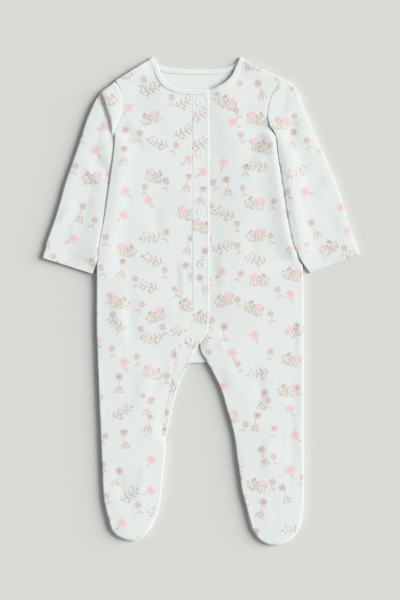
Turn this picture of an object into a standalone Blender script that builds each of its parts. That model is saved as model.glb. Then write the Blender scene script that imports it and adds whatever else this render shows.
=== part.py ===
"""Footed baby sleepsuit, laid flat on its back with its snap front closed.

The garment lies in the XY plane: +X is the wearer's left, +Y runs to the neck and +Z is up,
away from the surface. Z = 0 is that surface, and the origin is under the middle of the outline.
Tables are in millimetres, meshes in metres.
"""
import math

import bmesh
import bpy

MM = 0.001

# Cloth and seams
CLOTH = 1.1            # one wall of double-knit cotton
GAP = 0.3              # clearance between neighbouring pieces
FRONT_Z = CLOTH + GAP  # underside of the front where it meets the side seams

# Snap front
SOCKET_H = 1.0                                 # stud and socket pressed together
OVER_Z = FRONT_Z + CLOTH + SOCKET_H + 2 * GAP  # underside of the overlapping band
PUFF = OVER_Z - FRONT_Z                        # rise of the front from the side to the band
PUFF_REACH = 40.0                              # distance over which the front rises
OVER_X = (-10.2, 9.8)                          # edges of the overlapping band
UNDER_X = (-9.2, 5.7)                          # edges of the band beneath it
BAND_TOP_Y = 247.6
SNAP_R = 4.7
SNAP_H = 1.1
SNAP_RIM = 1.8
SNAP_SIDES = 20
SNAP_AT = ((-1.2, 239.0), (-1.0, 178.0), (0.2, 108.0), (1.4, 44.0), (-13.0, -46.0))

# Where one layer lies on another
TUCK = 3.1             # height of a flattened sleeve with its clearance
TUCK_RAMP = 15.0       # distance over which the layer above comes down again
RIGHT_TUCK_Y = (207.0, 194.0, 45.0, 29.0)   # right side of the body lies on its sleeve
LEFT_COVER_Y = (222.0, 209.0, 46.0, 30.0)   # left sleeve lies on the side of the body
COVER_WIDTH = 15.0

# Neckband
NECKBAND = 7.0         # finished width of the binding
NECK_FOLD_STEPS = 3    # rows round the fold at each shoulder
NECK_TIP = {"right": (-56.2, 291.2), "left": (46.4, 291.2)}   # its free edge at the shoulders

# Mesh density
COLUMNS = (0.0, 0.05, 0.12, 0.22, 0.35, 0.48, 0.61, 0.74, 0.87, 1.0)
NECK_COLUMN = 0.22     # column that ends the shoulder and starts the neckline
SLEEVE_ACROSS = (0.0, 0.06, 0.16, 0.33, 0.5, 0.67, 0.84, 0.94, 1.0)
SLEEVE_PUFF = 1.6
SLEEVE_MOUTH = 0.35    # part of that puff left at armhole and cuff

# Colours
COTTON = (0.90, 0.93, 0.92)
BINDING = (0.91, 0.92, 0.88)
PLASTIC = (0.93, 0.94, 0.92)

# Shoulders, armholes and necklines, as points from the first named place to the last
SHOULDER = {   # armhole to neck
    "right": ((-101.6, 264.2), (-87.2, 273.2), (-62.4, 288.4)),
    "left": ((95.6, 268.4), (78.4, 275.6), (51.6, 288.4)),
}
ARMHOLE = {    # shoulder to the yoke line
    "right": ((-101.6, 264.2), (-99.4, 261.2), (-96.6, 256.0), (-93.6, 247.0), (-93.4, 237.5),
              (-94.4, 228.0), (-96.2, 218.5), (-98.4, 213.0), (-101.6, 209.0), (-102.0, 202.0),
              (-101.3, 194.0)),
    "left": ((95.6, 268.4), (94.2, 265.2), (91.4, 259.6), (86.2, 249.4), (82.6, 238.8),
             (80.9, 228.0), (81.0, 217.6), (82.4, 211.6), (84.8, 207.2), (89.5, 199.5),
             (95.0, 194.0)),
}
UNDERARM = 8           # armhole point where the sleeve's seam ends
FRONT_NECK = {   # shoulder to the band, along the seam of the neckband
    "right": ((-62.4, 288.4), (-57.5, 279.5), (-53.5, 269.5), (-47.5, 260.0), (-38.0, 253.4),
              (-26.0, 249.2), (-10.5, 247.6)),
    "left": ((51.6, 288.4), (48.5, 279.0), (44.0, 268.5), (34.5, 258.5), (22.5, 251.6),
             (14.0, 248.6), (6.0, 247.6)),
}
BACK_NECK = {    # shoulder to the middle, along the seam of the neckband
    "right": ((-62.4, 288.4), (-53.0, 279.8), (-42.0, 275.6), (-28.0, 273.4), (-14.0, 272.4),
              (-5.0, 272.0), (-0.2, 272.0)),
    "left": ((51.6, 288.4), (43.0, 280.0), (33.0, 275.8), (23.0, 273.4), (13.0, 272.4),
             (6.0, 272.0), (-0.2, 272.0)),
}

# Sections of each half from the yoke line to the toe.
# outer x and y, inner x and y of the front panel, level of its inner edge (1 = overlapping band)
FRONT_SECTIONS = {
    "right": (
        (-101.3, 194.0, -10.5, 194.0, 1.0), (-103.0, 176.0, -10.5, 176.0, 1.0),
        (-105.2, 158.0, -10.5, 158.0, 1.0), (-109.0, 132.0, -10.5, 132.0, 1.0),
        (-113.0, 105.0, -10.5, 105.0, 1.0), (-119.0, 74.0, -10.5, 74.0, 1.0),
        (-122.0, 48.0, -10.5, 48.0, 1.0), (-122.6, 20.0, -10.5, 20.0, 1.0),
        (-122.8, -6.0, -10.5, -6.0, 1.0), (-122.8, -22.0, -10.6, -22.0, 1.0),
        (-122.6, -34.0, -14.5, -32.0, 1.0), (-122.4, -46.0, -23.0, -42.0, 1.0),
        (-121.8, -60.0, -27.5, -58.0, 1.0), (-121.4, -74.0, -30.2, -72.4, 0.85),
        (-120.8, -90.0, -34.2, -88.0, 0.65), (-120.0, -108.0, -38.2, -107.0, 0.52),
        (-119.2, -128.0, -42.4, -127.6, 0.52), (-118.2, -147.0, -45.8, -147.0, 0.52),
        (-117.8, -159.0, -47.2, -159.0, 0.52), (-117.2, -170.0, -43.2, -172.0, 0.0),
        (-116.6, -187.0, -43.8, -187.0, 0.0), (-115.8, -205.0, -45.6, -205.0, 0.0),
        (-115.0, -224.0, -47.6, -224.0, 0.0), (-113.4, -244.0, -49.6, -244.0, 0.0),
        (-111.4, -259.0, -53.6, -259.0, 0.0), (-107.4, -273.0, -59.6, -272.0, 0.0),
        (-101.0, -280.8, -66.5, -280.0, 0.0), (-92.0, -285.4, -74.0, -284.8, 0.0),
        (-85.5, -286.8, -79.5, -286.8, 0.0)),
    "left": (
        (95.0, 194.0, 6.0, 194.0, 0.0), (103.0, 176.0, 6.0, 176.0, 0.0),
        (106.6, 158.0, 6.0, 158.0, 0.0), (110.4, 132.0, 6.0, 132.0, 0.0),
        (114.0, 105.0, 6.0, 105.0, 0.0), (118.4, 74.0, 6.0, 74.0, 0.0),
        (121.2, 48.0, 6.0, 48.0, 0.0), (122.4, 20.0, 6.0, 20.0, 0.0),
        (122.8, -6.0, 6.0, -6.0, 0.0), (122.8, -22.0, 6.0, -22.0, 0.0),
        (122.8, -34.0, 5.0, -34.0, 0.0), (122.8, -46.0, 1.5, -45.0, 0.0),
        (122.8, -60.0, 1.5, -57.0, 0.0), (122.8, -74.0, 8.2, -69.6, 0.0),
        (122.8, -90.0, 19.0, -89.0, 0.0), (122.8, -108.0, 27.2, -107.0, 0.0),
        (122.8, -128.0, 33.4, -128.0, 0.0), (122.8, -147.0, 39.0, -147.0, 0.0),
        (122.8, -159.0, 42.0, -159.0, 0.0), (122.8, -170.0, 44.0, -171.0, 0.0),
        (122.8, -187.0, 45.8, -187.0, 0.0), (122.8, -205.0, 48.4, -205.0, 0.0),
        (122.8, -224.0, 51.2, -224.0, 0.0), (122.8, -244.0, 55.4, -244.0, 0.0),
        (121.6, -260.0, 57.8, -260.0, 0.0), (118.2, -272.0, 61.4, -273.0, 0.0),
        (112.6, -281.0, 67.0, -282.0, 0.0), (103.4, -288.0, 74.0, -288.6, 0.0),
        (92.0, -292.2, 83.0, -292.2, 0.0)),
}
CROTCH_ROW = 12        # section where the back divides into its legs
HEEL_ROW = 21          # section where the back ends and the sole starts

# Free edge of the overlapping band at each section of the right front, down to its end
OVER_FREE_X = (OVER_X[1],) * 10 + (8.6, 4.6, -7.0, -12.8, -21.2, -28.4, -34.2, -38.2, -40.6)
# Band beneath: left x, right x, y
UNDER_SECTIONS = (
    (UNDER_X[0], UNDER_X[1], BAND_TOP_Y), (UNDER_X[0], UNDER_X[1], 140.0),
    (UNDER_X[0], UNDER_X[1], 10.0), (UNDER_X[0], UNDER_X[1], -22.0), (-12.5, 4.5, -33.0),
    (-20.5, 1.1, -44.0), (-23.5, 0.4, -52.0), (-24.6, 1.0, -57.6), (-26.0, 3.6, -63.0),
    (-27.6, 7.6, -70.4), (-28.0, 8.6, -72.6), (-28.2, -13.4, -73.6), (-33.0, -21.8, -88.0),
    (-37.4, -28.8, -107.0), (-41.6, -34.8, -127.6), (-45.0, -38.8, -147.0),
    (-46.0, -41.0, -157.6))

# Sleeves from armhole to cuff: outer x and y, inner x and y (the armhole row comes from the seam)
SLEEVE_SECTIONS = {
    "right": (
        (-109.0, 258.4, -102.7, 206.6), (-116.0, 253.4, -102.9, 203.6),
        (-123.0, 245.0, -102.7, 199.6), (-129.0, 234.4, -102.3, 195.4),
        (-134.4, 222.0, -101.0, 189.0), (-141.4, 201.4, -98.4, 176.0),
        (-148.0, 181.0, -98.4, 160.0), (-155.0, 161.0, -100.0, 142.0),
        (-161.6, 142.0, -102.6, 124.0), (-167.4, 121.0, -106.0, 104.0),
        (-173.4, 101.0, -110.4, 84.0), (-179.4, 84.0, -115.2, 66.0),
        (-185.0, 68.0, -121.4, 49.0), (-189.7, 52.6, -129.2, 33.4)),
    "left": (
        (107.0, 262.4, 87.4, 204.6), (116.4, 250.4, 89.2, 200.6),
        (121.6, 236.0, 90.4, 196.6), (130.0, 215.6, 91.6, 188.0),
        (142.0, 187.0, 93.0, 174.0), (151.6, 165.4, 95.9, 157.0),
        (161.0, 143.6, 99.2, 137.0), (168.4, 122.0, 102.6, 113.0),
        (174.6, 100.4, 106.8, 89.0), (181.2, 80.0, 112.4, 66.0),
        (187.2, 65.0, 120.8, 49.0), (189.9, 57.2, 131.2, 34.4)),
}
# Deep fold across the top of the right sleeve, from the outer edge to the body, and its height
RIGHT_FOLD = ((-118.6, 251.8), (-115.6, 243.0), (-111.8, 230.0), (-107.8, 219.0), (-105.6, 207.0),
              (-102.4, 190.0))
FOLD_STEP = 1.6
FOLD_BLEND = 7.0


def clamp(value, low=0.0, high=1.0):
    return max(low, min(high, value))


def smooth(value):
    value = clamp(value)
    return value * value * (3.0 - 2.0 * value)


def plateau(y, span):
    """0 above the first height, 1 between the middle two, 0 below the last."""
    top, full_top, full_low, low = span
    return smooth((top - y) / (top - full_top)) * smooth((y - low) / (full_low - low))


def along(points, t):
    """Point at parameter t (0..1) of a Catmull-Rom curve through the points, by their number."""
    last = len(points) - 1
    place = clamp(t) * last
    i = min(int(place), last - 1)
    f = place - i
    p1 = points[i]
    p2 = points[i + 1]
    p0 = points[i - 1] if i > 0 else tuple(2 * a - b for a, b in zip(p1, p2))
    p3 = points[i + 2] if i + 2 <= last else tuple(2 * a - b for a, b in zip(p2, p1))
    return tuple(0.5 * (2 * b + (c - a) * f + (2 * a - 5 * b + 4 * c - d) * f * f
                        + (3 * b - a - 3 * c + d) * f ** 3)
                 for a, b, c, d in zip(p0, p1, p2, p3))


def edge_x(side, y):
    """x of the side seam of the body at height y below the yoke line, or of the armhole above."""
    rows = FRONT_SECTIONS[side]
    if y >= rows[0][1]:
        points = ARMHOLE[side]
        rows = [(p[0], p[1]) for p in points]
    for upper, lower in zip(rows, rows[1:]):
        if upper[1] >= y >= lower[1]:
            part = (upper[1] - y) / (upper[1] - lower[1])
            return upper[0] + (lower[0] - upper[0]) * part
    return rows[-1][0]


def body_lift(x, y):
    """Height of the body above the surface, where its right side lies on the sleeve."""
    inside = x - edge_x("right", y)
    overlap = 9.0
    return TUCK * plateau(y, RIGHT_TUCK_Y) * smooth(1.0 - (inside - overlap) / TUCK_RAMP)


def sleeve_lift(x, y):
    """Height of the left sleeve above the surface, where it lies on the side of the body."""
    outside = x - edge_x("left", y)
    return (FRONT_Z + CLOTH + GAP + 0.3) * plateau(y, LEFT_COVER_Y) \
        * smooth(1.0 - (outside - 2.0) / TUCK_RAMP)


def rise(distance):
    return math.sin(0.5 * math.pi * clamp(distance / PUFF_REACH))


def material(name, colour, roughness):
    """Principled material of one plain colour."""
    mat = bpy.data.materials.new(name)
    mat.use_nodes = True
    shader = mat.node_tree.nodes["Principled BSDF"]
    shader.inputs["Base Color"].default_value = (*colour, 1.0)
    shader.inputs["Roughness"].default_value = roughness
    shader.inputs["Metallic"].default_value = 0.0
    return mat


def add_object(name, verts, faces, colour, roughness):
    """Object from points in millimetres and faces, with its normals turned outward."""
    mesh = bpy.data.meshes.new(name)
    bm = bmesh.new()
    made = [bm.verts.new((x * MM, y * MM, z * MM)) for x, y, z in verts]
    for face in faces:
        bm.faces.new([made[i] for i in face])
    bmesh.ops.triangulate(bm, faces=bm.faces[:])
    bmesh.ops.recalc_face_normals(bm, faces=bm.faces[:])
    bm.to_mesh(mesh)
    bm.free()
    mesh.shade_smooth()
    mesh.set_sharp_from_angle(angle=math.radians(40))
    mesh.materials.append(material(name, colour, roughness))
    obj = bpy.data.objects.new(name, mesh)
    bpy.context.collection.objects.link(obj)
    return obj


def cloth_solid(name, points, quads, colour=COTTON, wall=CLOTH):
    """Cloth wall on a net of underside points; the net's open edges become its rim."""
    count = len(points)
    verts = [(x, y, z) for x, y, z in points] + [(x, y, z + wall) for x, y, z in points]
    faces = []
    rim = {}
    for a, b, c, d in quads:
        faces.append((a + count, b + count, c + count, d + count))
        faces.append((d, c, b, a))
        for start, end in ((a, b), (b, c), (c, d), (d, a)):
            if (end, start) in rim:
                del rim[(end, start)]
            else:
                rim[(start, end)] = True
    for start, end in rim:
        faces.append((start, end, end + count, start + count))
    return add_object(name, verts, faces, colour, 0.85)


def net_quads(grid):
    """Quads of a grid of point numbers, row by row."""
    return [(upper[c], lower[c], lower[c + 1], upper[c + 1])
            for upper, lower in zip(grid, grid[1:]) for c in range(len(upper) - 1)]


def top_line(side, neckline, u):
    """Point of a panel's upper edge: the shoulder out to the neck column, then the neckline."""
    if u <= NECK_COLUMN:
        return along(SHOULDER[side], u / NECK_COLUMN)
    return along(neckline, (u - NECK_COLUMN) / (1.0 - NECK_COLUMN))


def yoke_rows(side, neckline, inner_x):
    """Rows of points between the shoulder and the yoke line, as a Coons patch."""
    low = FRONT_SECTIONS[side][0]
    left_top = top_line(side, neckline, 0.0)
    right_top = top_line(side, neckline, 1.0)
    rows = []
    for outer in ARMHOLE[side][:-1]:
        t = (left_top[1] - outer[1]) / (left_top[1] - low[1])
        inner = (inner_x, right_top[1] + (low[1] - right_top[1]) * t)
        row = []
        for u in COLUMNS:
            top = top_line(side, neckline, u)
            bottom = (low[0] + (inner_x - low[0]) * u, low[1])
            corner = tuple((1 - u) * ((1 - t) * left_top[k] + t * (low[0], low[1])[k])
                           + u * ((1 - t) * right_top[k] + t * (inner_x, low[1])[k])
                           for k in (0, 1))
            row.append(tuple((1 - t) * top[k] + t * bottom[k] + (1 - u) * outer[k]
                             + u * inner[k] - corner[k] for k in (0, 1)))
        rows.append(row)
    return rows


def section_row(outer, inner):
    return [tuple(outer[k] + (inner[k] - outer[k]) * u for k in (0, 1)) for u in COLUMNS]


def from_shoulder(side, point):
    """Distance of a plan point from the shoulder seam."""
    return min(segment_distance(point, a, b)
               for a, b in zip(SHOULDER[side], SHOULDER[side][1:]))


def segment_distance(point, start, end):
    dx, dy = end[0] - start[0], end[1] - start[1]
    part = clamp(((point[0] - start[0]) * dx + (point[1] - start[1]) * dy) / (dx * dx + dy * dy))
    return math.dist(point, (start[0] + dx * part, start[1] + dy * part))


def front_height(side, row, c, level):
    """Underside height of a front panel at column c of a row of plan points."""
    x, y = row[c]
    width = math.dist(row[0], row[-1])
    from_outer = width * COLUMNS[c]
    if side == "left":
        from_outer = max(0.0, from_outer - COVER_WIDTH * plateau(y, LEFT_COVER_Y))
    from_inner = width * (1.0 - COLUMNS[c])
    puff = PUFF * rise(from_outer) * (level + (1.0 - level) * rise(from_inner))
    puff *= rise(from_shoulder(side, (x, y)))
    return FRONT_Z + body_lift(x, y) + puff if side == "right" else FRONT_Z + puff


def front_rows(side):
    """Rows of plan points and inner-edge levels of one front, from shoulder to toe."""
    sections = FRONT_SECTIONS[side]
    rows = [(row, sections[0][4]) for row in yoke_rows(side, FRONT_NECK[side], sections[0][2])]
    for outer_x, outer_y, inner_x, inner_y, level in sections:
        rows.append((section_row((outer_x, outer_y), (inner_x, inner_y)), level))
    return rows


def make_front(side):
    points = []
    grid = []
    for row, level in front_rows(side):
        grid.append([len(points) + c for c in range(len(row))])
        for c, (x, y) in enumerate(row):
            points.append((x, y, front_height(side, row, c, level)))
    cloth_solid("front_" + side, points, net_quads(grid))


def back_leg_inner(side, row):
    """Inner edge of a back leg: the outline, which on the right leg is the edge of its band."""
    section = FRONT_SECTIONS[side][row]
    if side == "right" and row < len(OVER_FREE_X):
        return OVER_FREE_X[row], section[3]
    return section[2], section[3]


def make_back():
    """Back of the body and both legs in one piece, down to the heels."""
    points = []
    halves = {}
    middle_x = -0.2
    shared = []
    for side in ("right", "left"):
        plans = yoke_rows(side, BACK_NECK[side], FRONT_SECTIONS[side][0][2])
        neck_y = BACK_NECK[side][-1][1]
        yoke_y = FRONT_SECTIONS[side][0][1]
        for row, seam in zip(plans, ARMHOLE[side]):
            t = (ARMHOLE[side][0][1] - seam[1]) / (ARMHOLE[side][0][1] - yoke_y)
            row.append((middle_x, neck_y + (yoke_y - neck_y) * t))
        plans[0][-2] = along(BACK_NECK[side], 0.9)
        for number, section in enumerate(FRONT_SECTIONS[side][:HEEL_ROW + 1]):
            outer = (section[0], section[1])
            if number < CROTCH_ROW:
                inner = (section[2], section[3])
                row = section_row(outer, inner)
                row.append((middle_x, 0.5 * (FRONT_SECTIONS["right"][number][3]
                                             + FRONT_SECTIONS["left"][number][3])))
            elif number == CROTCH_ROW:
                middle = (middle_x, -66.0)
                row = [tuple(outer[k] + (middle[k] - outer[k]) * u for k in (0, 1))
                       for u in COLUMNS[:-1] + (0.96, 1.0)]
            else:
                inner = back_leg_inner(side, number)
                row = [tuple(outer[k] + (inner[k] - outer[k]) * u for k in (0, 1))
                       for u in COLUMNS[:-1] + (0.96, 1.0)]
            plans.append(row)
        grid = []
        for r, row in enumerate(plans):
            numbers = []
            for c, (x, y) in enumerate(row):
                joined = c == len(row) - 1 and r < len(ARMHOLE[side]) + CROTCH_ROW
                if joined and side == "left":
                    numbers.append(shared[r])
                    continue
                if joined:
                    shared.append(len(points))
                numbers.append(len(points))
                points.append((x, y, body_lift(x, y)))
            grid.append(numbers)
        halves[side] = grid
    quads = net_quads(halves["right"])
    quads += [(d, c, b, a) for a, b, c, d in net_quads(halves["left"])]
    cloth_solid("back", points, quads)


def make_sole(side):
    """Sole of one foot, from the heel seam to the toe."""
    sections = FRONT_SECTIONS[side][HEEL_ROW:]
    points = []
    grid = []
    for number, section in enumerate(sections):
        drop = GAP if number == 0 else 0.0
        row = section_row((section[0], section[1] - drop), (section[2], section[3] - drop))
        grid.append([len(points) + c for c in range(len(row))])
        points += [(x, y, 0.0) for x, y in row]
    cloth_solid("sole_" + side, points, net_quads(grid))


def over_sections():
    """Sections of the overlapping band, level with the right front that it is sewn to."""
    rows = [(OVER_X[0], OVER_X[1], BAND_TOP_Y, OVER_Z)]
    for section, free_x in zip(FRONT_SECTIONS["right"], OVER_FREE_X):
        plan = section_row(section[0:2], section[2:4])
        z = front_height("right", plan, len(plan) - 1, section[4])
        rows.append((section[2] + GAP, free_x, section[3], z))
    return rows


def make_strip(name, sections, columns=3):
    """Flat band through sections of left x, right x, y and underside z."""
    points = []
    grid = []
    for left, right, y, z in sections:
        numbers = []
        for c in range(columns):
            numbers.append(len(points))
            points.append((left + (right - left) * c / (columns - 1), y, z))
        grid.append(numbers)
    cloth_solid(name, points, net_quads(grid), BINDING)


def make_sleeve(side):
    """Flattened tube from armhole to cuff, open at both ends."""
    away = GAP if side == "right" else -GAP
    stations = [offset_line(ARMHOLE[side][:UNDERARM + 1], -away * 1.2)]
    for outer_x, outer_y, inner_x, inner_y in SLEEVE_SECTIONS[side]:
        stations.append([(outer_x + (inner_x - outer_x) * v, outer_y + (inner_y - outer_y) * v)
                         for v in SLEEVE_ACROSS])
    verts = []
    rings = []
    last = len(stations) - 1
    for number, station in enumerate(stations):
        mouth = min(1.0, SLEEVE_MOUTH + min(number, last - number) * 0.35)
        width = math.dist(station[0], station[-1])
        inset = CLOTH / width
        outer_top, outer_low, inner_top, inner_low = [], [], [], []
        for v in SLEEVE_ACROSS:
            x, y = at_fraction(station, v)
            low, high = sleeve_levels(side, x, y, v, mouth)
            outer_low.append((x, y, low))
            outer_top.append((x, y, high))
            v_in = inset + v * (1.0 - 2.0 * inset)
            x_in, y_in = at_fraction(station, v_in)
            low, high = sleeve_levels(side, x_in, y_in, v, mouth)
            inner_low.append((x_in, y_in, low + CLOTH))
            inner_top.append((x_in, y_in, high - CLOTH))
        outer = outer_top + outer_low[::-1]
        inner = inner_top + inner_low[::-1]
        rings.append((range(len(verts), len(verts) + len(outer)),
                      range(len(verts) + len(outer), len(verts) + len(outer) + len(inner))))
        verts += outer + inner
    faces = []
    count = len(rings[0][0])
    for (outer_a, inner_a), (outer_b, inner_b) in zip(rings, rings[1:]):
        for k in range(count):
            n = (k + 1) % count
            faces.append((outer_a[k], outer_a[n], outer_b[n], outer_b[k]))
            faces.append((inner_b[k], inner_b[n], inner_a[n], inner_a[k]))
    for outer, inner in (rings[0], rings[-1]):
        for k in range(count):
            n = (k + 1) % count
            faces.append((outer[k], outer[n], inner[n], inner[k]))
    add_object("sleeve_" + side, verts, faces, COTTON, 0.85)


def at_fraction(station, v):
    """Point at fraction v across a station whose points stand at SLEEVE_ACROSS."""
    for k in range(len(SLEEVE_ACROSS) - 1):
        start, end = SLEEVE_ACROSS[k], SLEEVE_ACROSS[k + 1]
        if v <= end:
            part = (v - start) / (end - start)
            return tuple(station[k][i] + (station[k + 1][i] - station[k][i]) * part
                         for i in (0, 1))
    return station[-1]


def fold_side(x, y):
    """Signed distance from the fold of the right sleeve, positive towards the armhole."""
    best = None
    for (ax, ay), (bx, by) in zip(RIGHT_FOLD, RIGHT_FOLD[1:]):
        dx, dy = bx - ax, by - ay
        t = clamp(((x - ax) * dx + (y - ay) * dy) / (dx * dx + dy * dy))
        away = math.dist((x, y), (ax + dx * t, ay + dy * t))
        sign = 1.0 if dx * (y - ay) - dy * (x - ax) > 0 else -1.0
        if best is None or away < abs(best):
            best = sign * away
    return best


def sleeve_levels(side, x, y, v, mouth):
    """Lowest and highest level of a sleeve at a plan point, v across and near a mouth or not."""
    thin = 2 * CLOTH + GAP
    puff = SLEEVE_PUFF * mouth * math.sin(math.pi * v) ** 0.7 if 0.0 < v < 1.0 else 0.0
    if side == "left":
        low = sleeve_lift(x, y)
        return low, low + thin + puff
    step = FOLD_STEP * smooth(fold_side(x, y) / FOLD_BLEND) * math.sin(math.pi * v) ** 0.5 \
        if 0.0 < v < 1.0 and y > RIGHT_TUCK_Y[1] else 0.0
    under_body = plateau(y, RIGHT_TUCK_Y) * smooth((v - 0.6) / 0.25)
    return 0.0, thin + puff * (1.0 - under_body) + step


def neck_rows():
    """Rows round the neck from the overlapping end to the lower one.

    Each row holds, for the outer face and the inner face of the cloth, the point on the seam
    edge and the point on the free edge.
    """
    fronts = {}
    backs = {}
    for side in ("right", "left"):
        level = FRONT_SECTIONS[side][0][4]
        plan = yoke_rows(side, FRONT_NECK[side], FRONT_SECTIONS[side][0][2])[0]
        start = COLUMNS.index(NECK_COLUMN)
        front = []
        for c in range(start + 1, len(COLUMNS)):
            z = front_height(side, plan, c, level)
            front.append((plan[c], z))
        fronts[side] = front
        backs[side] = [along(BACK_NECK[side], t / 6.0) for t in range(1, 7)]
    return fronts, backs


def offset_line(points, distance):
    """Points moved to the left of the line's direction by the distance."""
    moved = []
    for i, (x, y) in enumerate(points):
        ax, ay = points[max(i - 1, 0)]
        bx, by = points[min(i + 1, len(points) - 1)]
        length = math.dist((ax, ay), (bx, by))
        moved.append((x - (by - ay) / length * distance, y + (bx - ax) / length * distance))
    return moved


def make_neckband():
    """One binding strip: over the band, up the right front, round the back and down the left."""
    fronts, backs = neck_rows()
    right_seam = [(OVER_X[1], BAND_TOP_Y), (0.0, BAND_TOP_Y)]
    right_seam += [p for p, z in reversed(fronts["right"])]
    right_z = [OVER_Z, OVER_Z] + [z for p, z in reversed(fronts["right"])]
    left_seam = [p for p, z in fronts["left"]] + [(0.0, BAND_TOP_Y), (UNDER_X[0], BAND_TOP_Y)]
    left_z = [z for p, z in fronts["left"]] + [FRONT_Z, FRONT_Z]
    rows = []
    corner = {}
    for side, tip in NECK_TIP.items():
        seam = SHOULDER[side][-1]
        part = GAP / math.dist(seam, tip)
        corner[side] = tuple(a + (b - a) * part for a, b in zip(seam, tip))
    back_seam = backs["right"] + backs["left"][::-1][1:]
    back_edge = offset_line(back_seam, NECKBAND)
    seam_gap = offset_line(right_seam, -GAP)
    free = offset_line(right_seam, -NECKBAND)
    for seam, edge, z in zip(seam_gap, free, right_z):
        rows.append(((*seam, z + CLOTH), (*edge, z + CLOTH), (*seam, z), (*edge, z)))
    rows += fold_rows(corner["right"], NECK_TIP["right"], 1)
    for seam, edge in zip(offset_line(back_seam, GAP), back_edge):
        rows.append(((*seam, 0.0), (*edge, 0.0), (*seam, CLOTH), (*edge, CLOTH)))
    rows += fold_rows(corner["left"], NECK_TIP["left"], -1)
    seam_gap = offset_line(left_seam, -GAP)
    free = offset_line(left_seam, -NECKBAND)
    for seam, edge, z in zip(seam_gap, free, left_z):
        rows.append(((*seam, z + CLOTH), (*edge, z + CLOTH), (*seam, z), (*edge, z)))
    verts = [point for row in rows for point in row]
    faces = []
    order = (0, 1, 3, 2)
    for r in range(len(rows) - 1):
        a, b = 4 * r, 4 * (r + 1)
        for k in range(4):
            m, n = order[k], order[(k + 1) % 4]
            faces.append((a + m, a + n, b + n, b + m))
    end = 4 * (len(rows) - 1)
    faces.append(tuple(order))
    faces.append(tuple(end + k for k in order))
    add_object("neckband", verts, faces, BINDING, 0.85)


def fold_rows(seam, free, direction):
    """Rows where the binding turns over the shoulder, between its front and back levels."""
    length = math.dist(seam, free)
    outward = (direction * (seam[1] - free[1]) / length, direction * (free[0] - seam[0]) / length)
    middle = CLOTH + 0.5 * GAP
    outer_r = middle
    inner_r = 0.5 * GAP
    rows = []
    for step in range(NECK_FOLD_STEPS):
        angle = math.pi * step / (NECK_FOLD_STEPS - 1)
        rise_z = math.cos(angle) * direction
        out = math.sin(angle)
        row = []
        for radius in (outer_r, inner_r):
            for x, y in (seam, free):
                row.append((x + outward[0] * radius * out, y + outward[1] * radius * out,
                            middle + radius * rise_z))
        rows.append(tuple(row))
    return rows


def turned(name, x, y, z, profile, colour):
    """Round piece from a profile of radius and height that starts and ends on its axis."""
    verts = []
    faces = []
    rings = []
    for radius, height in profile:
        if radius == 0.0:
            rings.append([len(verts)])
            verts.append((x, y, z + height))
            continue
        rings.append(list(range(len(verts), len(verts) + SNAP_SIDES)))
        for k in range(SNAP_SIDES):
            angle = 2 * math.pi * k / SNAP_SIDES
            verts.append((x + radius * math.cos(angle), y + radius * math.sin(angle), z + height))
    for lower, upper in zip(rings, rings[1:]):
        for k in range(SNAP_SIDES):
            n = (k + 1) % SNAP_SIDES
            if len(lower) == 1:
                faces.append((lower[0], upper[n], upper[k]))
            elif len(upper) == 1:
                faces.append((lower[k], lower[n], upper[0]))
            else:
                faces.append((lower[k], lower[n], upper[n], upper[k]))
    add_object(name, verts, faces, colour, 0.4)


def make_snaps():
    """Ring cap on the band, and its socket and stud pressed together between the bands."""
    cap = ((0.0, 0.0), (SNAP_R, 0.0), (SNAP_R, 0.5 * SNAP_H), (SNAP_R - 0.5, SNAP_H),
           (SNAP_R - SNAP_RIM, SNAP_H), (SNAP_R - SNAP_RIM - 0.5, 0.5 * SNAP_H),
           (0.0, 0.5 * SNAP_H))
    socket = ((0.0, 0.0), (SNAP_R - 0.6, 0.0), (SNAP_R - 0.6, SOCKET_H), (0.0, SOCKET_H))
    for number, (x, y) in enumerate(SNAP_AT, start=1):
        turned(f"snap_cap_{number}", x, y, OVER_Z + CLOTH + GAP, cap, PLASTIC)
        turned(f"snap_socket_{number}", x, y, OVER_Z - GAP - SOCKET_H, socket, PLASTIC)


def build():
    for obj in list(bpy.data.objects):
        bpy.data.objects.remove(obj)
    make_back()
    for side in ("right", "left"):
        make_front(side)
        make_sole(side)
        make_sleeve(side)
    make_strip("band_over", over_sections())
    make_strip("band_under", [(*row, FRONT_Z) for row in UNDER_SECTIONS])
    make_neckband()
    make_snaps()


build()
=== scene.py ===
"""Looks of the footed baby sleepsuit: knitted shells, print, seams, stitches and ring snaps.

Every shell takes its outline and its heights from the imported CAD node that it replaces.
Shapes are worked out in millimetres and turned into metres when a mesh is made.
"""
import math
from collections import namedtuple

import bpy
import numpy as np
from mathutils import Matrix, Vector
from mathutils.bvhtree import BVHTree
from mathutils.geometry import delaunay_2d_cdt
from mathutils.kdtree import KDTree


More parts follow.
